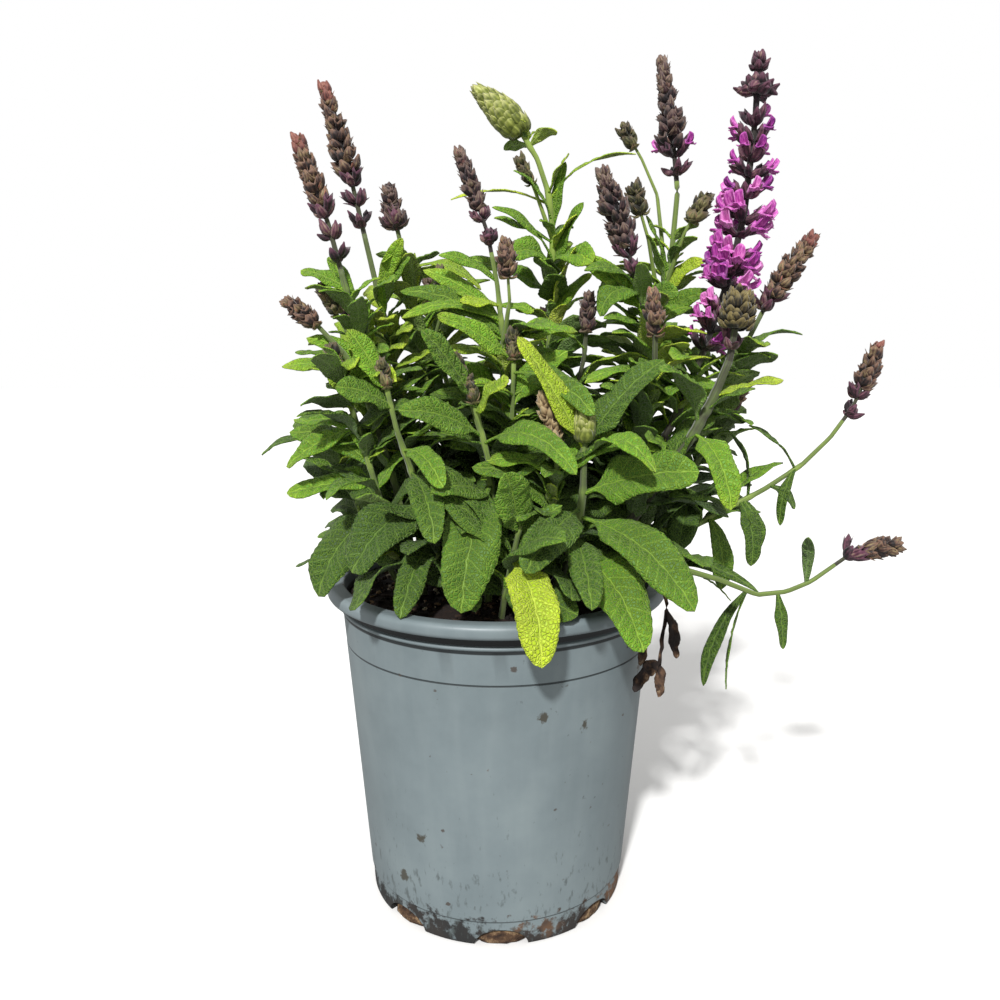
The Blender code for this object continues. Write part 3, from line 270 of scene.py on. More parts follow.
def mouldedPolythene():
    # Nursery pot, polythene, blow-moulded: a satin skin, dulled by dust, with earth in its lower corner and
    # painted shade under its lip and in its rings.
    material, tree, shader = newMaterial("grey polythene, blow-moulded", IOR=1.5)
    place = objectPlace(tree)
    height = splitPlace(tree, place)["Z"]
    cloud = clouds(tree, place, 45 * mm, 4, 0.6)["Fac"]
    base = colourRamp(tree, cloud, ((0.3, "#717d80"), (0.5, "#7a8689"), (0.7, "#828e90")))
    # streaks of dried water run down the wall, a few millimetres wide
    runs = stretched(tree, place, (1 / (7 * mm), 1 / (7 * mm), 1 / (90 * mm)))
    streak = remap(tree, clouds(tree, runs, 1, 3)["Fac"], 0.45, 0.75, 0, 0.08)
    base = blend(tree, streak, base, linear("#a9b2b1"))
    # earth gathers along the foot and in the drain holes
    grit = clouds(tree, place, 6 * mm, 5, 0.65)["Fac"]
    earth = calculate(tree, "ADD", grit, remap(tree, height, 2 * mm, 21 * mm, 0.34, -0.05))
    earth = remap(tree, earth, 0.63, 0.74, 0, 0.92)
    soil = colourRamp(tree, cloud, ((0.4, "#18110d"), (0.55, "#2c1e14"), (0.64, "#77512f")))
    base = blend(tree, earth, base, soil)
    # painted shade: near-black bands under the lip, under the band and in the two rings, where shadow lies
    paintedShade = 0.0
    for middle, half, depth in potMarks["paintedShade"]:
        away = calculate(tree, "ABSOLUTE", calculate(tree, "SUBTRACT", height, middle))
        paintedShade = calculate(tree, "MAXIMUM", remap(tree, away, half * 0.6, half, depth, 0), paintedShade)
    base = blend(tree, paintedShade, base, linear("#0a0e0f"))
    # rubbed grey marks, longer than wide, on the lower half
    marks = stretched(tree, place, (1 / (2.6 * mm), 1 / (2.6 * mm), 1 / (7 * mm)))
    lower = remap(tree, height, 20 * mm, 95 * mm, 0.05, -0.12)
    rub = calculate(tree, "ADD", clouds(tree, marks, 1, 3, 0.6)["Fac"], lower)
    base = blend(tree, remap(tree, rub, 0.61, 0.73, 0, 0.7), base, linear("#4d5554"))
    # small scuffs and specks of mud on the wall
    ragged = calculate(tree, "MULTIPLY_ADD", grit, 0.42, -0.21)
    for apart, wide, mud in potMarks["specks"]:
        speck = addNode(tree, "ShaderNodeTexVoronoi", {"Vector": place, "Scale": 1 / apart})
        speck = calculate(tree, "ADD", speck.outputs["Distance"], ragged)
        base = blend(tree, remap(tree, speck, wide * 0.6, wide, 0.85, 0), base, linear(mud))
    dull = remap(tree, cloud, 0.3, 0.7, 0.38, 0.52)
    dull = calculate(tree, "MULTIPLY_ADD", earth, 0.4, dull, clamp=True)
    tree.links.new(dull, shader.inputs["Roughness"])
    skin = clouds(tree, place, 1.2 * mm, 2)["Fac"]
    coat(tree, shader, base, calculate(tree, "MULTIPLY_ADD", earth, 3.0, skin), 0.25, 0.12 * mm)
    return material


def dampCompost():
    # Compost, peat and bark, damp: near black, with crumbs from brown to tan and a few pale grains.
    material, tree, shader = newMaterial("compost, peat and bark", Roughness=0.9, IOR=1.4)
    grain = clouds(tree, objectPlace(tree), 1.6 * mm, 4, 0.7)["Fac"]
    spread = remap(tree, grain, 0.3, 0.75, -0.12, 0.22)
    total = calculate(tree, "ADD", tintOf(tree), spread, clamp=True)
    stops = ((0, "#15100e"), (0.3, "#2a1f1a"), (0.55, "#57412f"), (0.8, "#a58a68"), (1, "#ddd6c4"))
    coat(tree, shader, colourRamp(tree, total, stops), grain, 1.0, 0.8 * mm)
    return material


leafTop = nettedLeaf(
    "salvia leaf, upper side", ((0, "#20370d"), (0.35, "#385a10"), (0.7, "#63961c"), (1, "#b0ca1e")),
    ((0, "#6c8f3a"), (0.35, "#93b543"), (0.7, "#b6d347"), (1, "#eaf068")), 0.5, 0.55 * mm, 0.55, 0.05,
)
leafUnder = nettedLeaf(
    "salvia leaf, underside", ((0, "#3c5720"), (0.35, "#52732b"), (0.7, "#739634"), (1, "#b0c030")),
    ((0, "#78905a"), (0.35, "#92aa68"), (0.7, "#b0c570"), (1, "#dde47c")), 0.5, -0.5 * mm, 0.65, 0.2,
)
stalkSkin = squareStalk()
corolla = velvetPetal()
deadLeaf = witheredBlade()
polythene = mouldedPolythene()
peat = dampCompost()
sepals = {
    "maroon": ribbedSepal("maroon calyx", "#705a50", 0.8, (
        (0, "#0a0608"), (0.25, "#2c181d"), (0.45, "#4c3135"), (0.62, "#6e5c4d"), (0.76, "#8d7e66"),
        (0.86, "#7c4a4b"), (1, "#93605c"),
    )),
    "russet": ribbedSepal("russet calyx", "#876652", 0.8, (
        (0, "#100909"), (0.25, "#35211d"), (0.45, "#5b4236"), (0.62, "#7c6a4c"), (0.76, "#96835e"),
        (0.86, "#9f5c51"), (1, "#b46c5f"),
    )),
    "ripe": ribbedSepal("ripe calyx", "#8b5548", 0.7, (
        (0, "#241110"), (0.35, "#56302c"), (0.65, "#824c43"), (1, "#ae7b69"),
    )),
    "olive": ribbedSepal("olive calyx", "#857648", 0.75, (
        (0, "#0f0d07"), (0.3, "#332b18"), (0.52, "#5c4f2e"), (0.7, "#7b6d42"), (0.84, "#9a8b5c"),
        (1, "#c3b588"),
    )),
    "green_bud": ribbedSepal("green bud scale", "#cccb86", 0.6, (
        (0, "#38420f"), (0.4, "#667024"), (0.75, "#959d45"), (1, "#c6ca7c"),
    )),
    "dried": ribbedSepal("dried calyx", "#b9a47a", 0.5, (
        (0, "#3a2818"), (0.4, "#6f5336"), (0.75, "#9c825c"), (1, "#c9b790"),
    )),
    "bloom": ribbedSepal("purple calyx", "#66394e", 0.8, (
        (0, "#0b060b"), (0.25, "#2c1621"), (0.45, "#502c3b"), (0.65, "#744656"), (0.8, "#8c7565"),
        (1, "#ab8c84"),
    )),
}
budBrown = ribbedSepal("brown-green calyx", "#6b5a44", 0.8, (
    (0, "#17140d"), (0.25, "#33331b"), (0.45, "#52502c"), (0.62, "#6f6a40"), (0.76, "#8c8558"),
    (0.86, "#865a4c"), (1, "#9c6c5c"),
))
# where each finish lies on a head; a shoot has leaf sides first, then the same stalk and bud places
finishes = dict(cone=0, petal=1, stalk=2, bud=3, ripe=4)
print("materials made")


# Pieces

def finishPiece(name, bm, materials, nodes, slot):
    mesh = bpy.data.meshes.new(name)
    bm.to_mesh(mesh)
    bm.free()
    piece = bpy.data.objects.new(name, mesh)
    bpy.context.scene.collection.objects.link(piece)
    for material in materials:
        mesh.materials.append(material)
    mesh.shade_smooth()
    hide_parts(*nodes)
    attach(piece, "root")
    return piece


def emptyShape():
    bm = bmesh.new()
    bm.verts.layers.float.new("tint")
    bm.loops.layers.uv.new("blade")
    return bm


def makeForm(name, bm, **facts):
    # keeps a shape as a mesh with its coordinates as arrays, ready to be bent many times
    bm.verts.layers.float.new("tint")
    bm.loops.layers.uv.new("blade")
    mesh = bpy.data.meshes.new(name)
    bm.to_mesh(mesh)
    bm.free()
    places = np.zeros(len(mesh.vertices) * 3)
    mesh.vertices.foreach_get("co", places)
    corners = np.zeros(len(mesh.loops), dtype=np.int32)
    mesh.loops.foreach_get("vertex_index", corners)
    return dict(facts, mesh=mesh, co=places.reshape(-1, 3), corners=corners)


def packed(values):
    return np.ascontiguousarray(values, dtype=np.float32).ravel()


def addForm(bm, form, points, tint, uv, finish=None):
    copy = form["mesh"].copy()
    copy.vertices.foreach_set("co", packed(points))
    copy.attributes["tint"].data.foreach_set("value", packed(np.broadcast_to(tint, len(points))))
    copy.uv_layers["blade"].data.foreach_set("uv", packed(uv[form["corners"]]))
    if finish is not None:
        copy.polygons.foreach_set("material_index", np.full(len(copy.polygons), finish, dtype=np.int32))
    bm.from_mesh(copy)
    bpy.data.meshes.remove(copy)


def bladeForm(name, columns, rows):
    # a thin closed sheet: x runs across from -1 to 1, y along from 0 to 1, z is 1 above and 0 below
    bm = bmesh.new()
    bmesh.ops.create_grid(bm, x_segments=columns, y_segments=rows, size=1)
    fit = Matrix.Translation((0, 0.5, 0)) @ Matrix.Diagonal((1, 0.5, 1, 1))
    bmesh.ops.transform(bm, matrix=fit, verts=bm.verts)
    bmesh.ops.solidify(bm, geom=list(bm.faces), thickness=-1)
    bmesh.ops.recalc_face_normals(bm, faces=bm.faces)
    bmesh.ops.translate(bm, vec=(0, 0, -min(v.co.z for v in bm.verts)), verts=bm.verts)
    for face in bm.faces:
        face.material_index = 1 if face.normal.z < -0.5 else 0
    return makeForm(name, bm, rows=rows)


def budForm(name, sides, levels, hollow=0):
    # a closed prism: x and y on the unit circle, z from 0 to 1 along it
    # a hollow one is open at the top, as deep as this share of its height
    bm = bmesh.new()
    bmesh.ops.create_cone(bm, cap_ends=True, segments=sides, radius1=1, radius2=1, depth=1)
    bmesh.ops.translate(bm, vec=(0, 0, 0.5), verts=bm.verts)
    upright = [e for e in bm.edges if abs(e.verts[0].co.z - e.verts[1].co.z) > 0.5]
    bmesh.ops.subdivide_edges(bm, edges=upright, cuts=levels - 2)
    if hollow:
        top = next(f for f in bm.faces if f.normal.z > 0.9)
        bmesh.ops.inset_individual(bm, faces=[top], thickness=0.14)
        bmesh.ops.translate(bm, vec=(0, 0, -hollow), verts=top.verts)
    form = makeForm(name, bm, levels=levels)
    form["level"] = np.round(form["co"][:, 2] * (levels - 1)).astype(int)
    form["around"] = np.arctan2(form["co"][:, 1], form["co"][:, 0])
    form["reach"] = np.hypot(form["co"][:, 0], form["co"][:, 1])
    return form


def unit(vector):
    return vector / np.maximum(np.linalg.norm(vector, axis=-1, keepdims=True), 1e-12)


def smoothStep(low, high, value):
    share = np.clip((value - low) / (high - low), 0, 1)
    return share * share * (3 - 2 * share)


def sheetFrame(line, along):
    # the curve from root over bend to tip, and the directions across and out of a sheet laid on it
    root, bend, tip = (np.array(line[key]) for key in ("root", "bend", "tip"))
    w = along[:, None]
    centre = root * (1 - w) ** 2 + bend * 2 * w * (1 - w) + tip * w * w
    direction = unit((bend - root) * (1 - w) + (tip - bend) * w)
    side = unit(np.cross(tip - root, np.array(line["face"])))
    return centre, side, unit(np.cross(side, direction))


def tubeAlong(form, path, distances, radii, square=1):
    # the form's levels set across the path, one at each distance
    spots = [pointAt(path, distance) for distance in distances]
    turns = np.array([np.array(ahead.to_track_quat("Z", "Y").to_matrix()) for _, ahead in spots])
    ring = np.stack([np.cos(form["around"]), np.sin(form["around"]), np.zeros(len(form["co"]))], axis=1)
    ring *= (np.array(radii)[form["level"]] * square)[:, None]
    centres = np.array([point for point, _ in spots])[form["level"]]
    return centres + np.einsum("nij,nj->ni", turns[form["level"]], ring)


def wrapped(form, share, height):
    # UV of a tube: once round it, and up to this height
    return np.stack([(form["around"] / (2 * math.pi) + 0.5) * share, height], axis=1)


# Paths, which follow the frame's own joints

spanSteps = 2
straightWithin = 0.7 * mm
holeDepth = 11 * mm


def curvePoints(points):
    # a Catmull-Rom curve through the points
    ends = [points[0] * 2 - points[1]] + points + [points[-1] * 2 - points[-2]]
    path = []
    for a, b, c, d in zip(ends, ends[1:], ends[2:], ends[3:]):
        for step in range(spanSteps):
            t = step / spanSteps
            bow = (2 * a - 5 * b + 4 * c - d) * t * t + (3 * b - a - 3 * c + d) * t * t * t
            path.append((2 * b + (c - a) * t + bow) / 2)
    return path + [points[-1]]


def framePath(points, rooted):
    # the frame's path, with the points on straight stretches left out
    path = curvePoints([Vector(p) * mm for p in points])
    kept = [path[0]]
    for point, after in zip(path[1:], path[2:]):
        along = (after - kept[-1]).normalized()
        aside = (point - kept[-1]) - along * (point - kept[-1]).dot(along)
        if aside.length > straightWithin:
            kept.append(point)
    kept.append(path[-1])
    if rooted:
        kept.insert(0, kept[0] - (kept[1] - kept[0]).normalized() * holeDepth)
    return kept


def pathLengths(path):
    lengths = [0.0]
    for first, second in zip(path, path[1:]):
        lengths.append(lengths[-1] + (second - first).length)
    return lengths


def pointAt(path, distance):
    lengths = pathLengths(path)
    distance = min(max(distance, 0.0), lengths[-1])
    i = 0
    while i < len(path) - 2 and distance > lengths[i + 1]:
        i += 1
    share = (distance - lengths[i]) / (lengths[i + 1] - lengths[i])
    return path[i].lerp(path[i + 1], share), (path[i + 1] - path[i]).normalized()


def distanceAtHeight(path, height):
    lengths = pathLengths(path)
    for i in range(len(path) - 1):
        low, high = path[i].z, path[i + 1].z
        if low <= height < high:
            return lengths[i] + (lengths[i + 1] - lengths[i]) * (height - low) / (high - low)
    return lengths[min(range(len(path)), key=lambda i: abs(path[i].z - height))]


def stretchOf(path, start, end):
    lengths = pathLengths(path)
    inside = [point for point, at in zip(path, lengths) if start + 1 * mm < at < end - 1 * mm]
    return [pointAt(path, start)[0]] + inside + [pointAt(path, end)[0]]


def outwardOf(point):
    return Vector((point.x, point.y, 0)).normalized()


def leaning(out, up, angle):
    # the direction at this angle from up towards out
    return up * math.cos(angle) + out * math.sin(angle)


# Stems: path from the compost to the tip, radius, spike, joints and side branches, as in the frame.
# A spike is (length, radius, loose whorls below the cone, colour).

stemTable = {
    "left_tall": dict(
        path=((-24, -10, 151), (-42, -14, 215), (-62, -15, 272), (-75, -15, 325), (-88, -15, 363)),
        radius=2.2, spike=(63, 5.4, 3, "russet"), coneShare=0.48, pairs=(190, 218, 244, 272),
    ),
    "left_second": dict(
        path=((-27, 6, 151), (-42, 6, 230), (-58, 5, 300), (-68, 5, 350), (-79, 5, 389)),
        radius=2.2, spike=(71, 6.7, 3, "russet"), cone="club", coneShare=0.56, pairs=(180, 218, 244, 270),
    ),
    "left_third": dict(
        path=((-15, 16, 151), (-28, 22, 230), (-40, 22, 290), (-53, 20, 348)),
        radius=2.0, spike=(25, 7.2, 1, "maroon"), cone="pointed", coneShare=0.78,
        pairs=(188, 216, 240, 262, 288),
        branches=(dict(start=262, path=((-26, 14, 290), (-27, 10, 309)), spike=(14, 3.2, 0, None)),),
    ),
    "centre_tall": dict(
        path=((2, -5, 151), (3, -9, 220), (3, -10, 275), (-4, -10, 322), (-17, -10, 358)),
        radius=1.9, spike=(50, 4.6, 2, "maroon"), coneShare=0.52, pairs=(176, 208, 232, 256),
        branches=(dict(start=272, path=((6, -15, 292), (4, -15, 319)), spike=(16, 4.8, 0, "russet")),),
    ),
    "green_bud": dict(
        path=((13, 14, 151), (23, 22, 230), (28, 25, 300), (25, 25, 345), (12, 25, 372), (-10, 25, 392)),
        radius=2.1, spike=(31, 7.6, 0, "green_bud"), cone="bud", pairs=(180, 216, 240, 260, 282, 366),
        branches=(dict(start=322, path=((18, 20, 346), (10, 18, 360)), spike=(13, 3.4, 0, None)),),
    ),
    "dark_cone": dict(
        path=((26, 3, 151), (60, 2, 200), (74, 0, 245), (67, 0, 298), (48, 0, 352)),
        radius=2.0, spike=(58, 7.6, 2, "maroon"), coneShare=0.62,
        pairs=(176, 208, 234, 256, 278),
    ),
    "right_tall": dict(
        path=((24, 18, 151), (58, 23, 215), (80, 25, 280), (88, 25, 345), (78, 25, 406)),
        radius=2.2, spike=(60, 8.6, 2, "maroon"), cone="pointed", coneShare=0.67,
        pairs=(178, 212, 236, 258, 280, 304), openFlowers=2,
        branches=(
            dict(start=296, path=((80, 36, 345), (62, 38, 378)), spike=(11, 4.2, 0, None)),
            dict(start=288, path=((73, 16, 322), (64, 14, 348)), spike=(15, 5.2, 0, None)),
            dict(start=300, path=((91, 17, 326), (101, 17, 343)), spike=(14, 5.0, 0, None)),
        ),
    ),
    "flowering": dict(
        path=((35, -8, 151), (72, -8, 212), (98, -6, 272), (113, -5, 330), (117, -5, 400)),
        radius=2.6, spike=(52, 10.0, 3, "maroon"), cone="crown", bloom=84, pairs=(180, 214, 240),
    ),
    "right_lean": dict(
        path=((40, 13, 151), (84, 18, 208), (117, 20, 258), (134, 20, 294), (155, 20, 325)),
        radius=2.0, spike=(48, 6.8, 2, "russet"), coneShare=0.72, pairs=(176, 206, 230, 252),
    ),
    "olive_cone": dict(
        path=((38, -24, 151), (66, -30, 200), (88, -31, 232), (103, -31, 266), (107, -31, 296)),
        radius=3.0, spike=(34, 8.4, 1, "olive"), pairs=(172, 200),
    ),
    "far_right_high": dict(
        path=(
            (50, -4, 151), (84, -10, 180), (110, -10, 194), (145, -10, 216), (167, -10, 243),
            (177, -10, 273),
        ),
        radius=1.6, spike=(42, 5.4, 2, "russet"), pairs=(176,),
    ),
    "far_right_low": dict(
        path=(
            (48, -22, 151), (84, -26, 170), (122, -27, 157), (147, -26, 163), (165, -25, 176),
            (189, -25, 181),
        ),
        radius=1.6, spike=(36, 6.2, 1, "russet"), pairs=(164,),
    ),
    "left_low": dict(
        path=((-34, -16, 151), (-50, -22, 220), (-68, -24, 268), (-94, -24, 292)),
        radius=1.8, spike=(17, 4.8, 0, "russet"), pairs=(184, 244),
        branches=(dict(start=240, path=((-66, -16, 274), (-80, -12, 299)), spike=(14, 3.8, 0, None)),),
    ),
    "pale_spike": dict(
        path=((10, -27, 151), (24, -42, 200), (26, -47, 225), (20, -48, 253)),
        radius=1.7, spike=(27, 4.8, 0, "dried"), pairs=(170, 200),
    ),
    "front_bud": dict(
        path=((24, -36, 151), (36, -46, 195), (38, -48, 220), (38, -48, 246)),
        radius=2.1, spike=(15, 5.0, 0, "green_bud"), pairs=(168,),
    ),
    "front_left": dict(
        path=((-4, -28, 151), (-2, -38, 205), (-6, -41, 235), (-14, -41, 261)),
        radius=1.9, spike=(13, 3.4, 0, None), pairs=(168, 188),
        branches=(dict(start=226, path=((-12, -34, 250), (-18, -33, 268)), spike=(11, 3.2, 0, None)),),
    ),
    "mid_right": dict(
        path=((16, 2, 151), (32, 5, 225), (42, 5, 265), (44, 5, 296)),
        radius=1.7, spike=(17, 4.2, 0, "maroon"), pairs=(174, 204, 236),
    ),
    "mid_right_front": dict(
        path=((30, -13, 151), (62, -20, 215), (72, -20, 262), (70, -19, 297)),
        radius=1.9, spike=(20, 5.0, 0, "russet"), pairs=(172, 202, 236),
    ),
    "mid_front": dict(
        path=((-10, -17, 151), (4, -25, 215), (8, -26, 250), (7, -26, 280)),
        radius=1.6, spike=(13, 3.4, 0, None), pairs=(178, 206, 232),
    ),
    "left_front": dict(
        path=((-38, -30, 151), (-50, -34, 195), (-62, -34, 238), (-73, -32, 273)),
        radius=1.7, spike=(12, 3.6, 0, None), pairs=(172, 220, 254),
    ),
    "left_front_inner": dict(
        path=((-20, -28, 151), (-32, -38, 200), (-43, -43, 235), (-50, -43, 267)),
        radius=1.8, spike=(12, 3.4, 0, None), pairs=(166,),
    ),
    "back_left": dict(
        path=((-32, 26, 151), (-52, 44, 210), (-72, 54, 260), (-84, 56, 300)),
        radius=1.9, spike=(26, 5.2, 1, "russet"), pairs=(172, 202, 234, 262),
    ),
    "back_centre_left": dict(
        path=((-9, 36, 151), (-20, 56, 210), (-30, 68, 262), (-38, 72, 308)),
        radius=1.9, spike=(24, 5.0, 0, "maroon"), pairs=(174, 206, 240, 270),
    ),
    "back_centre": dict(
        path=((14, 40, 151), (20, 62, 205), (24, 76, 250), (28, 84, 292)),
        radius=1.9, spike=(28, 6.0, 1, "maroon"), pairs=(202, 232, 256),
    ),
    "back_right": dict(
        path=((34, 34, 151), (60, 50, 205), (78, 60, 250), (90, 64, 296)),
        radius=1.9, spike=(22, 5.0, 0, "olive"), pairs=(172, 204, 236, 262),
    ),
    "back_far_right": dict(
        path=((50, 16, 151), (86, 32, 186), (112, 42, 218), (134, 48, 256)),
        radius=1.8, spike=(22, 5.0, 0, "russet"), pairs=(168, 192, 218),
    ),
    "low_left": dict(
        path=((-48, 4, 151), (-62, 6, 178), (-74, 6, 204), (-82, 6, 228)),
        radius=1.7, spike=None, pairs=(164, 186, 212),
    ),
    "low_back": dict(
        path=((0, 56, 151), (0, 72, 176), (2, 84, 200), (2, 92, 220)),
        radius=1.7, spike=None, pairs=(190, 218),
    ),
    "low_front": dict(
        path=((2, -50, 151), (4, -58, 168), (8, -62, 184), (10, -64, 198)),
        radius=1.6, spike=None, pairs=(166,),
    ),
}

# Leaves that the photograph shows: stem, height of the joint, tip, arch, width, tilt towards the viewer.
placedLeaves = (
    ("front_bud", 228, (9, -54, 276), 5, 12, 50), ("front_bud", 228, (73, -37, 266), 15, 15, 40),
    ("front_bud", 225, (64, -74, 222), 48, 12, 20), ("olive_cone", 237, (68, -58, 262), 38, 13, 20),
    ("olive_cone", 233, (99, -60, 204), 34, 14, 40), ("olive_cone", 250, (126, -34, 257), 10, 10, 10),
    ("olive_cone", 244, (111, -44, 254), 15, 8, 10), ("front_bud", 209, (84, -64, 221), 12, 22, 50),
    ("front_bud", 198, (80, -84, 167), 25, 20, 50), ("front_bud", 183, (66, -94, 161), 30, 24, 50),
    ("front_bud", 190, (38, -92, 170), 20, 13, 40), ("front_bud", 202, (12, -84, 183), 15, 18, 55),
    ("low_front", 182, (18, -97, 148), 42, 19, 30), ("front_left", 211, (-14, -80, 165), 28, 24, 40),
    ("left_front_inner", 217, (-25, -75, 193), 30, 14, 40),
    ("left_front_inner", 203, (-61, -62, 177), 25, 23, 50),
    ("left_front", 199, (-78, -50, 163), 28, 21, 40),
    ("left_front_inner", 186, (-40, -72, 160), 22, 13, 40),
    ("left_front_inner", 179, (-20, -79, 160), 22, 14, 40),
    ("left_front_inner", 246, (-67, -54, 255), 20, 14, 45),
    ("front_left", 233, (-40, -62, 246), 18, 15, 50), ("front_left", 230, (32, -78, 222), 36, 13, 45),
    ("low_front", 196, (4, -74, 222), 10, 17, 60), ("left_front_inner", 227, (-22, -70, 215), 30, 11, 40),
    ("low_left", 226, (-112, -6, 220), 30, 8, 0), ("left_front", 236, (-94, -32, 218), 15, 12, 40),
    ("left_low", 212, (-96, -26, 205), 5, 14, 30), ("left_tall", 262, (-99, -12, 262), 10, 10, 30),
    ("left_low", 265, (-89, -28, 269), 12, 7, 20), ("left_front", 243, (-74, -37, 265), 8, 9, 40),
    ("left_front_inner", 256, (-63, -46, 279), 6, 12, 50), ("centre_tall", 283, (-42, -22, 284), 30, 8, 40),
    ("front_left", 252, (-31, -54, 279), 10, 12, 50), ("mid_front", 265, (-25, -42, 285), 12, 11, 50),
    ("front_left", 244, (5, -60, 258), 15, 13, 50), ("mid_front", 260, (32, -60, 239), 24, 12, 50),
    ("centre_tall", 290, (-16, -20, 291), 12, 9, 30), ("centre_tall", 290, (17, -22, 289), 12, 9, 30),
    ("mid_right", 270, (12, -22, 279), 25, 10.5, 40), ("left_second", 297, (-47, -3, 326), 6, 8, 84),
    ("left_second", 284, (-62, -6, 308), 8, 5, 60), ("left_tall", 297, (-88, -8, 303), 16, 10, 30),
    ("left_third", 308, (-8, 16, 298), 36, 10, 20), ("left_third", 276, (-3, 6, 316), 36, 7, 30),
    ("left_front", 250, (-74, -34, 286), 12, 9, 50),
    ("green_bud", 341, (66, 18, 361), 32, 6, 10), ("green_bud", 339, (-20, 12, 336), 24, 6, 10),
    ("green_bud", 344, (34, 16, 361), 10, 8, 30), ("green_bud", 321, (0, 12, 340), 12, 9, 30),
    ("green_bud", 318, (36, 12, 338), 12, 10, 30), ("green_bud", 298, (20, 6, 320), 14, 13, 40),
    ("green_bud", 296, (-14, 12, 312), 14, 12, 40), ("green_bud", 292, (16, 10, 311), 20, 17, 60),
    ("green_bud", 286, (38, 6, 314), 12, 9, 50), ("dark_cone", 296, (48, -10, 285), 48, 14, 40),
    ("dark_cone", 296, (37, -6, 302), 38, 8, 30), ("far_right_high", 214, (118, -14, 235), 22, 6, 20),
    ("far_right_high", 214, (135, -14, 187), 30, 5, 20),
    ("far_right_high", 200, (108, -16, 233), 30, 5, 20),
    ("far_right_high", 198, (120, -20, 169), 35, 9, 30),
    ("far_right_high", 190, (106, -22, 158), 35, 10, 30),
    ("far_right_low", 159, (127, -30, 191), 30, 6, 20), ("far_right_low", 163, (128, -36, 168), 35, 6, 20),
    ("far_right_low", 162, (148, -32, 149), 30, 4, 20), ("far_right_low", 158, (98, -30, 113), 20, 7, 30),
    ("far_right_low", 157, (134, -32, 132), 8, 6, 30), ("far_right_low", 160, (111, -22, 108), 12, 5, 20),
)

# how brown the stalk is, from 0, purple-brown, to 1, fresh green
stalkAge = dict(
    left_tall=0.42, left_second=0.45, left_third=0.5, centre_tall=0.62, green_bud=0.78, dark_cone=0.22,
    right_tall=0.66, flowering=0.2, right_lean=0.5, olive_cone=0.3, far_right_high=0.66, far_right_low=0.66,
    left_low=0.5, pale_spike=0.62, front_bud=0.45, front_left=0.62, mid_right=0.3, mid_right_front=0.3,
    mid_front=0.6,
)


# Leaves

leafShape = dict(
    largeLength=34 * mm, narrowWidth=13.3 * mm, petiole=0.8 * mm, tipShare=0.26, rootFromAxis=0.4 * mm,
    thickness=0.5 * mm, stalkThickness=1.3 * mm, tooth=0.4 * mm, quilt=0.8 * mm, quiltStep=5.2 * mm,
    fold=0.44, keeledFold=0.18, curl=0.42, wave=0.22, found=0.15 * mm,
    sizes=((175, 52, 20), (205, 46, 16), (232, 42, 12), (275, 38, 9), (310, 30, 8), (400, 18, 6)),
    tries=(
        (0, 0, 1), (14, 6, 1), (-14, 6, 1), (0, 16, 0.95), (0, -14, 0.92), (26, 0, 0.92), (-26, 0, 0.92),
        (18, 22, 0.85), (-18, 22, 0.85), (38, -8, 0.8), (-38, -8, 0.8), (0, 30, 0.72), (50, 10, 0.7),
        (-50, 10, 0.7),
    ),
)
unbent = (0, 0, 1)
largeBlade = bladeForm("large_blade", 12, 32)
middleBlade = bladeForm("middle_blade", 8, 26)
fillerBlade = bladeForm("filler_blade", 6, 12)
smallBlade = bladeForm("small_blade", 4, 10)
# how yellow some of the leaves are, from 0 to 1, by stem and height, or by the place of their tip
leafTints = {
    ("low_front", 182): 1.0, (9, -54, 276): 0.92, ("mid_front", 260): 0.5, ("front_bud", 228): 0.35,
    ("left_second", 297): 0.78, ("left_second", 284): 0.7, ("front_left", 233): 0.5,
    ("low_front", 196): 0.5, ("green_bud", 292): 0.35, ("green_bud", 286): 0.75,
    ("dark_cone", 296): 0.5, ("left_front", 250): 0.72, ("front_left", 244): 0.85,
    ("green_bud", 321): 0.7, ("green_bud", 298): 0.66, ("front_left", 211): 0.45,
    ("front_bud", 209): 0.55, ("front_bud", 183): 0.6, ("front_bud", 198): 0.5, ("left_front", 199): 0.3,
}
# small leaves high on the stems that only the picture needs, written as the frame's own are
extraLeaves = (
    ("green_bud", 330, (8, 8, 352), 30, 7, 40), ("green_bud", 326, (33, 20, 358), 10, 6, 60),
    ("green_bud", 306, (41, 10, 338), 16, 10, 50), ("green_bud", 312, (-2, 4, 335), 26, 8, 40),
    ("green_bud", 308, (6, -6, 312), 30, 15, 60), ("green_bud", 310, (44, -8, 309), 28, 14, 60),
    ("green_bud", 285, (37, 2, 317), 12, 7, 40), ("right_tall", 285, (49, 2, 300), 34, 12, 50),
    ("right_tall", 283, (66, 8, 303), 24, 11, 60), ("right_tall", 300, (72, 14, 324), 12, 6, 20),
    ("right_tall", 296, (100, 14, 312), 26, 10, 50), ("right_tall", 305, (72, 18, 333), 10, 6, 40),
    ("right_tall", 280, (104, 6, 296), 30, 11, 50), ("dark_cone", 285, (40, -4, 312), 16, 11, 70),
    ("dark_cone", 290, (84, -8, 296), 28, 11, 60), ("dark_cone", 280, (72, -14, 300), 12, 9, 50),
    ("centre_tall", 280, (-34, -4, 306), 20, 9, 50), ("centre_tall", 275, (-44, -12, 296), 26, 10, 50),
    ("centre_tall", 300, (-26, -14, 312), 22, 7, 40), ("left_tall", 285, (-78, -2, 312), 20, 8, 40),
    ("left_second", 290, (-40, -2, 312), 24, 9, 50), ("far_right_low", 161, (142, -34, 186), 34, 6, 30),
    ("far_right_high", 200, (124, -18, 176), 30, 8, 30),
    ("far_right_high", 205, (140, -18, 196), 34, 6, 30),
)


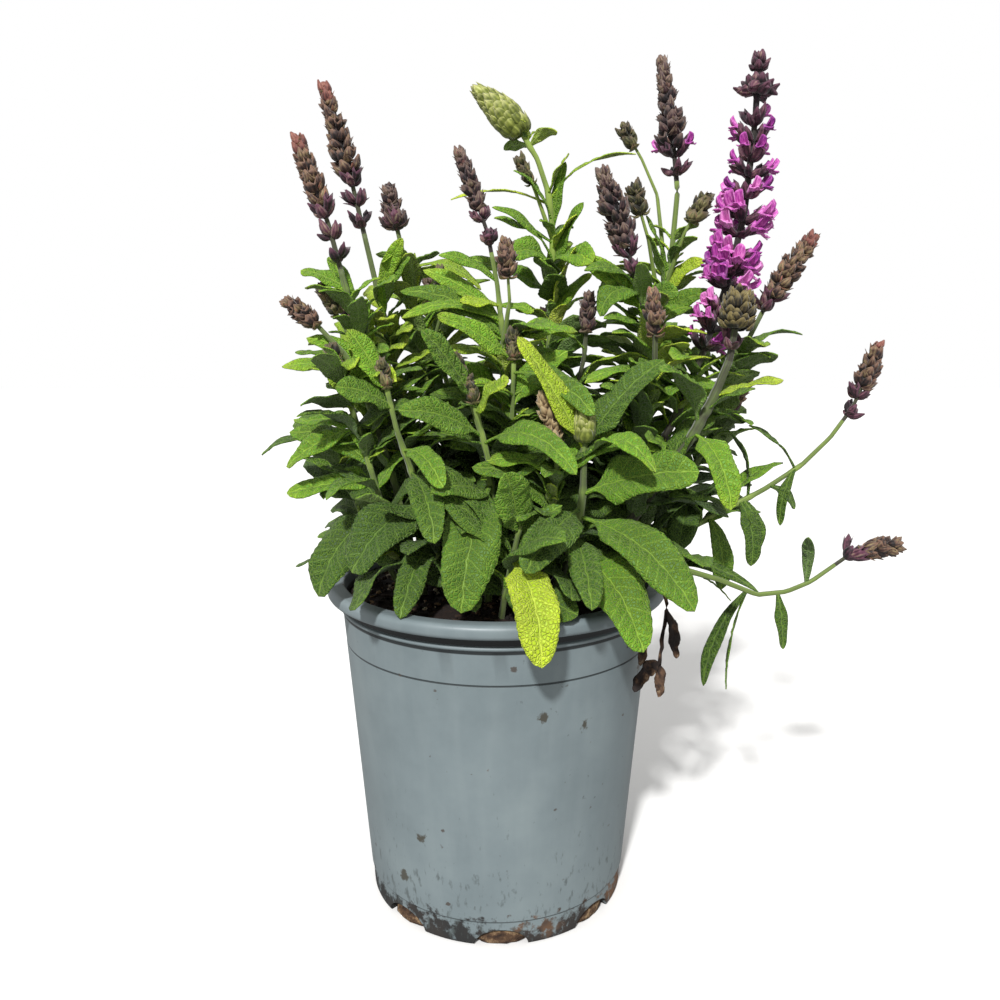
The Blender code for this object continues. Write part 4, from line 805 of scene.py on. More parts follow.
def leafWidths(kind, along):
    # half-width along the leaf, as a share of the widest, which lies near its foot
    foot, widest = {"large": (0.09, 0.34), "small": (-0.04, 0.30), "narrow": (-0.12, 0.46)}[kind]
    tip = (1 - np.clip((along - widest) / (1 - widest), 0, 1) ** 2.8) ** (0.6 if kind == "narrow" else 0.5)
    return (0.1 + 0.9 * smoothStep(foot, widest - 0.02, along)) * tip


def leafKind(leaf):
    if leaf["keeled"]:
        return "narrow" if leaf["halfWidth"] < leafShape["narrowWidth"] / 2 else "small"
    return "large" if leaf["length"] > leafShape["largeLength"] else "small"


def bendLeaf(root, wish, bendBy):
    # a leaf as it is wished for, turned, lifted and shrunk by as much as this
    turn, lift, shrink = bendBy
    heading, slope = math.radians(wish["heading"] + turn), math.radians(wish["slope"] + lift)
    arch, tilt = math.radians(wish["arch"]), math.radians(wish["tilt"])
    ahead = Vector((math.cos(heading), math.sin(heading), 0))
    up = Vector((0, 0, 1))
    halfChord = wish["chord"] * shrink / 2
    face = (up * math.cos(slope) - ahead * math.sin(slope)) * math.cos(tilt)
    return dict(
        root=root, bend=root + leaning(up, ahead, slope + arch) * halfChord / math.cos(arch),
        tip=root + leaning(up, ahead, slope) * halfChord * 2, face=face + wish["towards"] * math.sin(tilt),
        halfWidth=wish["width"] * shrink / 2, length=halfChord * 2, keeled=wish["keeled"],
    )


def growBlade(bm, form, leaf, kind, rng, tint):
    across, along, skin = form["co"].T
    centre, side, normal = sheetFrame(leaf, along)
    reach = np.abs(across)
    phase = rng.uniform(0, 2 * math.pi)
    lean = rng.uniform(-1, 1)
    lobes = 1 + 0.05 * np.sin(7 * along + phase + across)
    lobes += 0.035 * np.sin(15 * along + 2 * phase - 2 * across)
    half = leaf["halfWidth"] * leafWidths(kind, along) * lobes
    teeth = leafShape["tooth"] * (np.round(along * form["rows"]) % 2) * reach ** 6
    teeth = np.where(along < 0.97, teeth * np.clip(half / (7 * mm) - 0.2, 0, 1), 0)
    stalk = leafShape["petiole"] * (1 - smoothStep(0.2, 0.4, along)) * (1 if kind == "large" else 0.75)
    half = np.maximum(half, stalk) + teeth
    # the two halves rise from the midrib, roll down at the margin, wave and are quilted between the veins
    rise = leafShape["keeledFold" if leaf["keeled"] else "fold"]
    blade = smoothStep(0.1, 0.35, along) * (1 - 0.6 * smoothStep(0.8, 1.0, along))
    height = half * blade * (rise * reach - leafShape["curl"] * reach ** 3 * rise * 1.6)
    wave = np.sin(9 * along + phase + np.where(across > 0, 2.2, 0))
    height += half * blade * leafShape["wave"] * reach ** 2 * wave
    slant = along * leaf["length"] - 0.75 * reach * half
    quilt = np.sin(math.pi * reach) * np.cos(2 * math.pi * slant / leafShape["quiltStep"])
    height += leafShape["quilt"] * blade * quilt * (1 if kind == "large" else 0.6)
    thicker = leafShape["stalkThickness"] - leafShape["thickness"]
    thicker *= (1 - smoothStep(0.08, 0.3, along)) * (1 - 0.6 * reach)
    height += (skin - 0.5) * (leafShape["thickness"] + thicker)
    twist = lean * 0.12 * half * across * smoothStep(0.2, 1, along)
    points = centre + side * (across * half)[:, None] + normal * (height + twist)[:, None]
    uv = np.stack([0.5 + across * half / sheet, along * leaf["length"] / sheet], axis=1)
    shade = np.clip(tint + 0.10 * smoothStep(0.75, 1, along) - 0.08 * (1 - reach), 0, 1)
    addForm(bm, form, points, shade, uv)


def sizeAt(height):
    return next((row[1:] for row in leafShape["sizes"] if height < row[0]), leafShape["sizes"][-1][1:])


def wishedLeaves(name, stem):
    # the pairs of leaves that the stem bears by the plant's rule, drawn in the frame's order
    rng = random.Random(f"leaves of {name}")
    firstTurn = rng.uniform(0, 90)
    for i, height in enumerate(stem["pairs"]):
        distance = jointDistance(stem, height)
        length, width = sizeAt(height)
        for side in (0, 180):
            yield dict(
                distance=distance, heading=firstTurn + 90 * i + side + rng.uniform(-15, 15),
                arch=rng.uniform(16, 34), tilt=rng.uniform(20, 50),
                slope=rng.uniform(2, 20) if height < 210 else rng.uniform(12, 34),
                chord=length * mm * rng.uniform(0.86, 1.06), width=width * mm * rng.uniform(0.9, 1.1),
                towards=outwardOf(pointAt(stem["path"], distance)[0]), keeled=True, tint=None, row=None,
            )


def wishTo(root, tip):
    reach = Vector(tip) * mm - root
    heading = math.degrees(math.atan2(reach.y, reach.x))
    slope = math.degrees(math.asin(reach.z / reach.length))
    return dict(heading=heading, slope=slope, chord=reach.length)


def shownLeaf(stem, row, distance=None):
    # a leaf that the photograph shows, given by its tip
    name, height, tip, arch, width, tilt = row
    distance = distance or jointDistance(stem, height)
    return dict(
        wishTo(pointAt(stem["path"], distance)[0], tip), distance=distance, arch=arch, tilt=tilt,
        width=width * mm, towards=Vector((0, -1, 0)), keeled=width <= 10,
        tint=leafTints.get(tip, leafTints.get((name, height))), row=row,
    )


def crossingNear(stem, row):
    # a drooping stem passes one height more than once: take the place nearest to the leaf's tip
    _, height, tip = row[:3]
    nearest, found = None, None
    for i in range(round(leafyLength(stem) / mm)):
        point = pointAt(stem["path"], i * mm)[0]
        away = (point - Vector(tip) * mm).length
        if abs(point.z - height * mm) < 1.2 * mm and (nearest is None or away < nearest):
            nearest, found = away, i * mm
    return found


def leafyLength(stem):
    spike = stem["spike"][0] * mm if stem["spike"] else 0
    return pathLengths(stem["path"])[-1] - spike - stem.get("bloom", 0) * mm - 2 * mm


def jointDistance(stem, height):
    return min(distanceAtHeight(stem["path"], height * mm), leafyLength(stem))


def findLeaf(stem, wish, corners):
    # the way the frame bent this leaf: the one whose two tip corners are in its mesh
    point = pointAt(stem["path"], wish["distance"])[0]
    for bendBy in leafShape["tries"]:
        heading = math.radians(wish["heading"] + bendBy[0])
        root = point + Vector((math.cos(heading), math.sin(heading), 0)) * leafShape["rootFromAxis"]
        leaf = bendLeaf(root, wish, bendBy)
        side = (leaf["tip"] - leaf["root"]).cross(leaf["face"]).normalized()
        side *= max(leaf["halfWidth"] * leafShape["tipShare"], leafShape["petiole"])
        near = [corners.find(leaf["tip"] + side * s)[2] < leafShape["found"] for s in (-1, 1)]
        if all(near) or (any(near) and bendBy == unbent):
            return leaf
    return None


def nodeCorners(node):
    mesh = frame["nodes"][node].data
    tree = KDTree(len(mesh.vertices))
    for vert in mesh.vertices:
        tree.insert(vert.co, vert.index)
    tree.balance()
    return tree


def leafTint(leaf, rng):
    # the higher, the younger and the yellower
    return rng.betavariate(2.2, 2.4) * 0.66 + 0.42 * smoothStep(0.18, 0.28, leaf["root"].z)


def growLeaves(bm, name, stem, rng):
    corners = nodeCorners(f"{name}_stem")
    wishes = [shownLeaf(stem, row) for row in placedLeaves + extraLeaves if row[0] == name]
    count = 0
    for wish in wishes + list(wishedLeaves(name, stem)):
        leaf = findLeaf(stem, wish, corners)
        count += bool(leaf)
        if not leaf and wish["row"]:
            # the frame had no room for it, but the photograph shows it
            wish = shownLeaf(stem, wish["row"], crossingNear(stem, wish["row"]))
            leaf = bendLeaf(pointAt(stem["path"], wish["distance"])[0], wish, unbent)
        if not leaf:
            continue
        kind = leafKind(leaf)
        wide = leaf["halfWidth"] > 7 * mm or kind == "large"
        form = largeBlade if wide else middleBlade if leaf["length"] > 15 * mm else smallBlade
        tint = wish["tint"] if wish["tint"] is not None else leafTint(leaf, rng)
        growBlade(bm, form, leaf, kind, rng, tint)
    return count


tuftShape = dict(count=(2, 4), length=(9, 20), share=0.36, lean=(25, 75), tint=(0.35, 0.95))


def growTufts(bm, stem, rng):
    # the small young leaves that crowd the axils of each pair
    for height in stem["pairs"]:
        point, up = pointAt(stem["path"], jointDistance(stem, height) + 1.5 * mm)
        heading = rng.uniform(0, 360)
        for side in (0, 180):
            for _ in range(rng.randint(*tuftShape["count"])):
                length = rng.uniform(*tuftShape["length"]) * mm * (1 if height < 280 else 0.6)
                wish = dict(
                    heading=heading + side + rng.uniform(-55, 55),
                    slope=90 - rng.uniform(*tuftShape["lean"]),
                    arch=rng.uniform(8, 28), tilt=rng.uniform(0, 40), chord=length,
                    width=length * tuftShape["share"] * rng.uniform(0.8, 1.2),
                    towards=outwardOf(point), keeled=False,
                )
                leaf = bendLeaf(point + up * rng.uniform(0, 2) * mm, wish, unbent)
                growBlade(bm, smallBlade, leaf, "small", rng, rng.uniform(*tuftShape["tint"]))


fillerShape = dict(
    above=160, below=330, between=(0.25, 0.5, 0.75), last=24, length=(0.6, 0.98), width=(0.30, 0.42),
    slope=(0, 50),
)


def growFillers(bm, stem, rng):
    # shorter leaves of the side shoots that fill the plant between the pairs
    pairs = list(stem["pairs"])
    spans = zip(pairs, pairs[1:] + [pairs[-1] + fillerShape["last"]])
    for height in [low + (high - low) * share for low, high in spans for share in fillerShape["between"]]:
        distance = jointDistance(stem, height)
        if not fillerShape["above"] < height < fillerShape["below"] or distance >= leafyLength(stem):
            continue
        point = pointAt(stem["path"], distance)[0]
        heading = rng.uniform(0, 360)
        for side in (0, 180):
            chord = sizeAt(height)[0] * mm * rng.uniform(*fillerShape["length"])
            wish = dict(
                heading=heading + side + rng.uniform(-30, 30), slope=rng.uniform(*fillerShape["slope"]),
                arch=rng.uniform(14, 38), tilt=rng.uniform(10, 50), chord=chord,
                width=chord * rng.uniform(*fillerShape["width"]), towards=outwardOf(point), keeled=False,
            )
            leaf = bendLeaf(point, wish, unbent)
            growBlade(bm, fillerBlade, leaf, leafKind(leaf), rng, leafTint(leaf, rng))


# Stalks

stalkShape = dict(
    sides=12, step=3 * mm, waist=0.86, corner=1.12, joint=0.28, jointReach=2.2 * mm, tipShare=0.55,
    sideRadius=1.15 * mm,
)
stalkForms = {}


def growStalk(bm, path, radius, endRadius, age, joints, rng):
    # a square stalk with rounded corners and a groove down each side, thicker at its joints
    total = pathLengths(path)[-1]
    levels = max(4, round(total / stalkShape["step"]) + 1)
    if levels not in stalkForms:
        stalkForms[levels] = budForm(f"stalk_{levels}", stalkShape["sides"], levels)
    form = stalkForms[levels]
    distances = [total * i / (levels - 1) for i in range(levels)]
    radii, shade = [], []
    for i, distance in enumerate(distances):
        near = max([math.exp(-((distance - j) / stalkShape["jointReach"]) ** 2) for j in joints] or [0])
        thick = radius + (endRadius - radius) * i / (levels - 1)
        radii.append(thick * (1 + stalkShape["joint"] * near))
        shade.append(age + 0.10 * i / levels + 0.2 * near + rng.uniform(-0.03, 0.03))
    corners = np.abs(np.cos(2 * (form["around"] + math.pi / 4))) ** 0.8
    square = stalkShape["waist"] + (stalkShape["corner"] - stalkShape["waist"]) * corners
    points = tubeAlong(form, path, distances, radii, square)
    uv = wrapped(form, 0.2, form["level"] * stalkShape["step"] / sheet % 1.0)
    addForm(bm, form, points, np.clip(np.array(shade)[form["level"]], 0, 1), uv, finishes["stalk"])


# Calyces, scales and flowers

calyxShape = dict(
    levels=6, sides=8, flat=0.75, closed=(0.4, 0.88, 1.0, 0.96, 0.74, 0.24),
    open=(0.34, 0.66, 0.86, 0.98, 1.04, 1.16), scale=(0.6, 0.96, 1.0, 0.84, 0.5, 0.06), hollow=0.4,
)
budCalyx = budForm("bud_calyx", calyxShape["sides"], calyxShape["levels"])
openCalyx = budForm("open_calyx", calyxShape["sides"], calyxShape["levels"], calyxShape["hollow"])
petalBlade = bladeForm("petal_blade", 8, 7)


def growCalyx(bm, base, axis, out, length, width, rng, tint, finish, shape="closed", flat=None, curve=0.18):
    # one calyx or scale: a flattened bud that curves in towards its spike; an open one has a toothed mouth
    mouth = shape == "open"
    form = openCalyx if mouth else budCalyx
    axis = unit(np.array(axis))
    side = unit(np.cross(np.array(out), axis))
    out = unit(np.cross(axis, side))
    level = form["level"]
    last = calyxShape["levels"] - 1
    along = level / last
    widths = np.array(calyxShape[shape])[level] * form["reach"]
    tooth = np.where(np.cos(form["around"] * 4) > 0, 0.26 if mouth else 0.1, -0.05)
    tooth = np.where(level == last, tooth, 0)
    x = np.cos(form["around"]) * widths * width / 2
    y = np.sin(form["around"]) * widths * width / 2 * (flat or calyxShape["flat"])
    bow = curve * length * (1 - (2 * along - 1) ** 2) * 0.5
    rise = (along + tooth) * length
    points = np.array(base) + side * x[:, None] + out * (y + bow)[:, None] + axis * rise[:, None]
    # the inside of an open calyx's mouth takes the darkest colour: painted shade in the hollow
    shade = np.clip(tint + rng.uniform(-0.1, 0.1) - (form["reach"] < 0.95), 0, 1)
    addForm(bm, form, points, shade, wrapped(form, 1, along), finish)


def aroundStem(path, distance, angle):
    point, up = pointAt(path, distance)
    out = up.to_track_quat("Z", "Y").to_matrix() @ Vector((math.cos(angle), math.sin(angle), 0))
    return point, up, out


# how the calyces of each colour of cone are packed; then the outline of a cone, as in the frame
coneStyles = dict(
    maroon=dict(length=6.6, width=4.5, step=5.2),
    russet=dict(length=6.3, width=4.4, step=5.0, ripens=True),
    dried=dict(length=6.2, width=4.2, step=4.8),
    olive=dict(packed=True, lean=46, length=5.6, width=5.0, step=2.5, curve=0.26, wild=2.8, shade=0.3),
    green_bud=dict(packed=True, lean=12, length=8.4, width=6.4, step=3.2, curve=0.12, wild=0.6, shade=0.4),
)
coneShapes = dict(
    blunt=((0, 0.78), (0.25, 1), (0.6, 0.92), (0.85, 0.72), (1, 0.42)),
    pointed=((0, 0.9), (0.12, 1), (0.5, 0.68), (0.85, 0.46), (1, 0.3)),
    club=((0, 1), (0.3, 0.98), (0.5, 0.84), (0.75, 0.66), (1, 0.4)),
    bud=((0, 0.5), (0.22, 0.96), (0.42, 1), (0.7, 0.74), (1, 0.3)),
    crown=((0, 0.3), (0.3, 0.36), (0.42, 1), (0.62, 0.9), (0.72, 0.36), (0.84, 0.46), (1, 0.36)),
)
# the head of the spike in bloom: share of its height, count, lean, length and width of its calyces
crownRows = (
    (0.36, 6, 104, 7.6, 6.0), (0.39, 7, 84, 9.0, 6.2), (0.44, 6, 62, 7.4, 5.6), (0.48, 5, 40, 5.2, 4.8),
    (0.74, 5, 66, 4.4, 4.0), (0.80, 5, 44, 4.4, 3.8), (0.86, 4, 16, 4.2, 3.2),
)


def coneReach(cone, share):
    stations, reach = zip(*coneShapes[cone["shape"]])
    return cone["radius"] * float(np.interp(share, stations, reach))


def growCone(bm, cone, style, rng):
    if cone["shape"] == "crown":
        growCrown(bm, cone, rng)
    elif style.get("packed"):
        growPackedScales(bm, cone, style, rng)
    else:
        growCymes(bm, cone, style, rng)
    growCore(bm, cone)


def growPackedScales(bm, cone, style, rng):
    # overlapping pointed scales in rows, each row turned by half a scale from the last
    length, scale, wild = cone["length"], cone["scale"], style["wild"]
    rows = max(3, round(length / (style["step"] * mm)))
    shape = "scale" if wild < 1 else "closed"
    for i in range(rows):
        share = (i + 0.2) / rows
        size = style["length"] * mm * scale * (1 - 0.25 * share)
        size = min(size, (1 - share) * length * 1.1 + 1.5 * mm)
        reach = coneReach(cone, min(1, share + 0.6 * size / length)) * (1 if share < 0.85 else 0.55)
        reach = max(reach, 0.8 * mm)
        count = max(3, round(2 * math.pi * reach * 0.82 / (style["width"] * scale * mm * 0.62)))
        for k in range(count):
            angle = 2 * math.pi * (k + 0.5 * (i % 2) + rng.uniform(-0.1, 0.1) * wild) / count
            lean = math.radians(style["lean"] * (1.15 - 0.75 * share) + rng.uniform(-6, 6) * wild)
            grown = size * (1 + rng.uniform(-0.1, 0.1) * wild)
            distance = cone["start"] + share * length + rng.uniform(-0.4, 0.4) * wild * mm
            point, up, out = aroundStem(cone["path"], distance, angle)
            base = point + out * max(reach - grown * math.sin(lean) - 0.4 * mm, 0.0)
            width = style["width"] * mm * scale * rng.uniform(0.85, 1.1)
            tint = style["shade"] + 0.2 * share + rng.uniform(-0.12, 0.12) * wild
            growCalyx(
                bm, base, leaning(out, up, lean), out, grown, width, rng, tint, cone["finish"],
                shape=shape, flat=0.34, curve=style["curve"],
            )


def growCymes(bm, cone, style, rng):
    # lumpy whorls of two opposite clusters, each whorl crossing the last, loose below, close at the tip
    at, turn = 0.0, rng.uniform(0, math.pi)
    while at < cone["length"] - 1.5 * mm:
        reach = growCymePair(bm, cone, style, at, turn, rng)
        turn += math.pi / 2 + rng.uniform(-0.25, 0.25)
        step = max(style["step"] * mm * cone["scale"], reach * 0.6)
        at += step * (1.08 - 0.5 * at / cone["length"])


def growCymePair(bm, cone, style, at, turn, rng):
    share = at / cone["length"]
    reach = coneReach(cone, min(share + 0.12, 1)) * rng.uniform(0.94, 1.12)
    size = style["length"] * mm * cone["scale"] * (1.12 - 0.3 * share)
    size = min(size, (cone["length"] - at) * 1.02 + 0.6 * mm)
    width = style["width"] * mm * cone["scale"] * (1.06 - 0.2 * share)
    ripe = max(0.0, share - 0.62) / 0.38
    reddens = style.get("ripens") and ripe > 0.3 and cone["length"] > 20 * mm
    wide = reach > 5 * mm
    for side in (0, 1):
        middle = turn + math.pi * side
        skew = rng.uniform(-0.3, 0.3)
        for k in (-1.5, -0.5, 0.5, 1.5) if wide else (-1, 0, 1):
            if share < 0.7 and rng.random() < 0.1:
                continue
            angle = middle + k * (0.68 if wide else 0.85) + skew + rng.uniform(-0.12, 0.12)
            grown = size * rng.uniform(0.75, 1.2) * (1.05 if k == 0 else 0.94)
            # it leans out as far as the cone is wide there, from a foot part of the way out
            foot = max(0.0, reach - grown * rng.uniform(0.68, 0.8) - 0.6 * mm)
            outward = (reach * rng.uniform(0.86, 1.08) - foot - 0.8 * mm) / grown
            lean = math.asin(min(0.88, max(0.12, outward)))
            distance = cone["start"] + at + rng.uniform(-1.2, 0.8) * mm
            point, up, out = aroundStem(cone["path"], distance, angle)
            axis = leaning(out, up, lean) + up.cross(out) * rng.uniform(-0.25, 0.25)
            tint = rng.uniform(0.06, 0.58) * (1 - ripe) + rng.uniform(0.7, 0.95) * ripe
            spent = share < 0.8 and rng.random() < 0.35
            growCalyx(
                bm, point + out * foot, axis, out, grown * (0.85 if spent else 1),
                width * rng.uniform(0.85, 1.15), rng, tint, finishes["ripe"] if reddens else cone["finish"],
                shape="open" if spent else "closed", curve=0.26,
            )
        for _ in range(2):
            # a dry pale bract or tooth that stands out of the cluster
            angle = middle + rng.uniform(-1.3, 1.3)
            point, up, out = aroundStem(cone["path"], cone["start"] + at + rng.uniform(-1, 1) * mm, angle)
            axis = leaning(out, up, rng.uniform(0.5, 1.1))
            growCalyx(
                bm, point + out * max(0.4 * mm, reach - size * 0.85), axis, out,
                size * rng.uniform(0.7, 0.92), 1.9 * mm, rng, 0.76, cone["finish"],
                shape="scale", flat=0.35, curve=0.3,
            )
        # the broad bract under the cluster
        point, up, out = aroundStem(cone["path"], cone["start"] + at - 1.0 * mm, middle + skew)
        axis = leaning(out, up, math.radians(70 - 38 * share))
        growCalyx(
            bm, point + out * 0.5 * mm, axis, out, min(size * 0.95, reach), width * 1.3, rng, 0.55,
            cone["finish"], shape="scale", flat=0.22, curve=0.4,
        )
    return reach


def growCrown(bm, cone, rng):
    # a rosette of broad calyces, drooping at its edge, under a small knob
    for share, count, lean, size, width in crownRows:
        turn = rng.uniform(0, math.pi)
        for k in range(count):
            angle = turn + 2 * math.pi * k / count + rng.uniform(-0.2, 0.2)
            point, up, out = aroundStem(cone["path"], cone["start"] + share * cone["length"], angle)
            axis = leaning(out, up, math.radians(lean + rng.uniform(-12, 12)))
            growCalyx(
                bm, point + out * 0.8 * mm, axis, out, size * mm * rng.uniform(0.85, 1.05),
                width * mm * rng.uniform(0.85, 1.1), rng, rng.uniform(0.15, 0.66), cone["finish"],
                flat=0.7, curve=0.34,
            )


coreShape = dict(share=0.42, thickest=2.4 * mm, end=0.3, levels=9)
coreForm = budForm("spike_core", 8, coreShape["levels"])


def growCore(bm, cone):
    shares = [i / (coreShape["levels"] - 1) for i in range(coreShape["levels"])]
    radii = [min(coreShape["share"] * coneReach(cone, share), coreShape["thickest"]) for share in shares]
    radii[-1] *= coreShape["end"]
    distances = [cone["start"] + share * cone["length"] for share in shares]
    points = tubeAlong(coreForm, cone["path"], distances, radii)
    uv = wrapped(coreForm, 1, np.array(shares)[coreForm["level"]] * 0.5)
    addForm(bm, coreForm, points, 0.1, uv, cone["finish"])


whorlShape = dict(
    radius=5.4 * mm, widest=8, frameRadius=5.5, length=7.0 * mm, longest=7.6 * mm, width=4.0 * mm,
    bract=5.0 * mm, bractWidth=4.2 * mm,
)
looseWhorl = dict(count=6, spread=0.75, lean=42, missing=0.15, finish=finishes["bud"])
bloomWhorl = dict(count=10, spread=0.52, lean=60, missing=0.4, finish=finishes["cone"])


def growWhorl(bm, style, path, distance, reach, length, stalk, turn, opened, rng, tint):
    # a whorl: two opposite clusters of calyces over a pair of small bracts; it gives the open mouths
    share = reach / whorlShape["radius"]
    turn = turn * math.pi / 2
    mouths = []
    for k in range(style["count"]):
        side, place = k % 2, k // 2 - (style["count"] // 2 - 1) / 2
        angle = turn + math.pi * side + place * style["spread"] + rng.uniform(-0.2, 0.2)
        flowers = k in opened
        if not flowers and rng.random() < style["missing"]:
            continue
        tip = math.radians(style["lean"] + rng.uniform(-14, 18))
        point, up, out = aroundStem(path, distance + rng.uniform(-1.2, 1.2) * mm, angle)
        axis = leaning(out, up, tip)
        grown = min(length * share, whorlShape["longest"]) * rng.uniform(0.8, 1.12)
        foot = point + out * max(stalk * 0.6, reach - grown * 0.8 - 0.8 * mm)
        wide = whorlShape["width"] * rng.uniform(0.9, 1.15)
        shade = tint + rng.uniform(-0.3, 0.25)
        shape = "open" if flowers or rng.random() < 0.3 else "closed"
        growCalyx(bm, foot, axis, out, grown, wide, rng, shade, style["finish"], shape=shape, flat=0.8)
        if flowers:
            mouths.append((foot + axis * grown * 0.85, (out * 0.9 + axis * 0.4).normalized(), up))
    for k in range(2):
        point, up, out = aroundStem(path, distance - 1.6 * mm, math.pi * k + turn)
        growCalyx(
            bm, point + out * stalk * 0.5, out * 0.85 + up * 0.5, up, whorlShape["bract"] * share,
            whorlShape["bractWidth"], rng, tint, style["finish"], flat=0.18,
        )
    return mouths


flowerShape = dict(
    tube=5.0 * mm, tubeWidth=3.4 * mm, tubeRadii=(0.32, 0.42, 0.5, 0.58), inside=2.0 * mm, thick=0.35 * mm,
    hood=dict(length=8.2 * mm, width=4.6 * mm, spread=0.6, curl=0.9, below=0.0),
    lip=dict(length=7.4 * mm, width=7.2 * mm, spread=0.85, curl=-0.8, below=0.5 * mm),
)
tubeForm = budForm("flower_tube", 8, 4)


def growPetal(bm, kind, mouth, outward, up, size, rng, tint):
    sizes = flowerShape[kind]
    length = sizes["length"] * size
    ahead = (outward * sizes["spread"] + up * (1 - sizes["spread"])).normalized()
    root = mouth - up * sizes["below"]
    bend = root + ahead * length * 0.55
    tip = bend + (ahead + up * sizes["curl"]).normalized() * length * 0.45
    petal = dict(root=root, bend=bend, tip=tip, face=(up - outward * 0.3).normalized())
    across, along, skin = petalBlade["co"].T
    reach = np.abs(across)
    if kind == "hood":
        widths = 0.42 + 0.58 * np.sin(math.pi * np.clip(along * 0.86, 0, 1)) ** 0.8
        stretch = along * (1 - 0.10 * reach ** 2)
        cup = -0.95 * across ** 2 * widths
    else:
        # three lobes, the middle one notched
        widths = 0.34 + 0.70 * smoothStep(0.15, 0.75, along) - 0.12 * smoothStep(0.85, 1, along)
        lobes = 0.13 * np.cos(across * math.pi * 2.1) - 0.08 * np.exp(-(across / 0.12) ** 2)
        stretch = along * (0.93 + lobes * smoothStep(0.35, 1, along) - 0.16 * reach ** 2)
        cup = 0.35 * np.cos(across * 4.5) * smoothStep(0.3, 0.8, along) * 0.5
    centre, side, normal = sheetFrame(petal, stretch)
    halfWidth = sizes["width"] * size / 2
    frill = 0.06 * np.sin(14 * across + 9 * along + rng.uniform(0, 6)) * smoothStep(0.5, 1, along)
    height = halfWidth * (cup + frill) + (skin - 0.5) * flowerShape["thick"]
    points = centre + side * (across * halfWidth * widths)[:, None] + normal * height[:, None]
    uv = np.stack([across / 2 + 0.5, along], axis=1)
    addForm(bm, petalBlade, points, tint, uv, finishes["petal"])


def growFlower(bm, mouth, outward, up, rng, size):
    # a two-lipped corolla: a tube, a hooded upper lip and a broad three-lobed lower one
    tint = rng.betavariate(3, 2)
    outward = (outward + outward.cross(up) * rng.uniform(-0.25, 0.25)).normalized()
    ahead = np.array((outward * 0.72 + up * 0.28).normalized())
    side = unit(np.cross(ahead, np.array(up)))
    over = np.cross(side, ahead)
    along = tubeForm["level"] / 3
    radius = np.array(flowerShape["tubeRadii"])[tubeForm["level"]] * flowerShape["tubeWidth"] * size
    points = np.array(mouth) - ahead * flowerShape["inside"]
    points = points + ahead * (along * flowerShape["tube"] * size)[:, None]
    points += side * (np.cos(tubeForm["around"]) * radius)[:, None]
    points += over * (np.sin(tubeForm["around"]) * radius)[:, None]
    addForm(bm, tubeForm, points, tint, wrapped(tubeForm, 1, along * 0.35), finishes["petal"])
    growPetal(bm, "hood", mouth, outward, up, size, rng, tint)
    growPetal(bm, "lip", mouth, outward, up, size, rng, tint)


spikeShape = dict(foot=3 * mm, cone=0.5, fullRadius=5.2 * mm, flower=0.85, inBloom=(4, 3, 1))


def growSpike(bm, path, row, stalk, kind, rng, finish):
    # the cone, the loose whorls below it and the stalk that they stand on
    length, radius, loose, _ = row["spike"]
    total = pathLengths(path)[-1]
    start = total - length * mm
    coneLength = length * mm * (row.get("coneShare", spikeShape["cone"]) if loose else 1)
    coneStart = total - coneLength
    reach = whorlShape["radius"] * min(radius, whorlShape["widest"]) / whorlShape["frameRadius"]
    if loose:
        foot = start + spikeShape["foot"]
        part = stretchOf(path, start, coneStart + spikeShape["foot"])
        growStalk(bm, part, stalk, stalk * 0.8, 0.12 if kind == "maroon" else 0.3, [], rng)
        for i in range(loose):
            distance = foot + (coneStart - foot) * (i + 0.45) / loose
            opened = row.get("openFlowers", 0) if i == loose - 1 else 0
            opened = range(spikeShape["inBloom"][i] if "bloom" in row else opened)
            mouths = growWhorl(
                bm, looseWhorl, path, distance, reach, whorlShape["length"], stalk, i % 2, opened, rng, 0.4,
            )
            for mouth in mouths:
                growFlower(bm, *mouth, rng, spikeShape["flower"])
    cone = dict(
        path=path, start=coneStart, length=coneLength, radius=radius * mm, shape=row.get("cone", "blunt"),
        scale=min(1.0, radius * mm / spikeShape["fullRadius"]) ** 0.5, finish=finish,
    )
    growCone(bm, cone, coneStyles[kind], rng)
    return start


# how far up the length in bloom each whorl is, how many of its flowers are open and how large they are
bloomRows = (
    (0.05, 4, 0.75), (0.15, 5, 0.85), (0.24, 5, 0.9), (0.38, 9, 1.15), (0.46, 10, 1.25),
    (0.55, 7, 1.1), (0.66, 8, 1.15), (0.74, 10, 1.2), (0.86, 5, 0.95), (0.96, 5, 0.95),
)
bloomCalyx = 7.6 * mm


def growBloom(bm, path, start, end, stalk, rng):
    # the length in bloom: dark calyces, most of them open, in uneven clusters up the dark stalk
    growStalk(bm, stretchOf(path, start, end), stalk, stalk, 0.05, [], rng)
    for i, (share, count, size) in enumerate(bloomRows):
        opened = rng.sample(range(bloomWhorl["count"]), count)
        length = bloomCalyx * rng.uniform(0.8, 1.2)
        mouths = growWhorl(
            bm, bloomWhorl, path, start + (end - start) * share, whorlShape["radius"], length, stalk, i % 2,
            opened, rng, 0.3,
        )
        for mouth, outward, up in mouths:
            turned = (outward + Vector([rng.uniform(-0.35, 0.35) for _ in range(3)])).normalized()
            growFlower(bm, mouth, turned, up, rng, size * rng.uniform(0.8, 1.1))


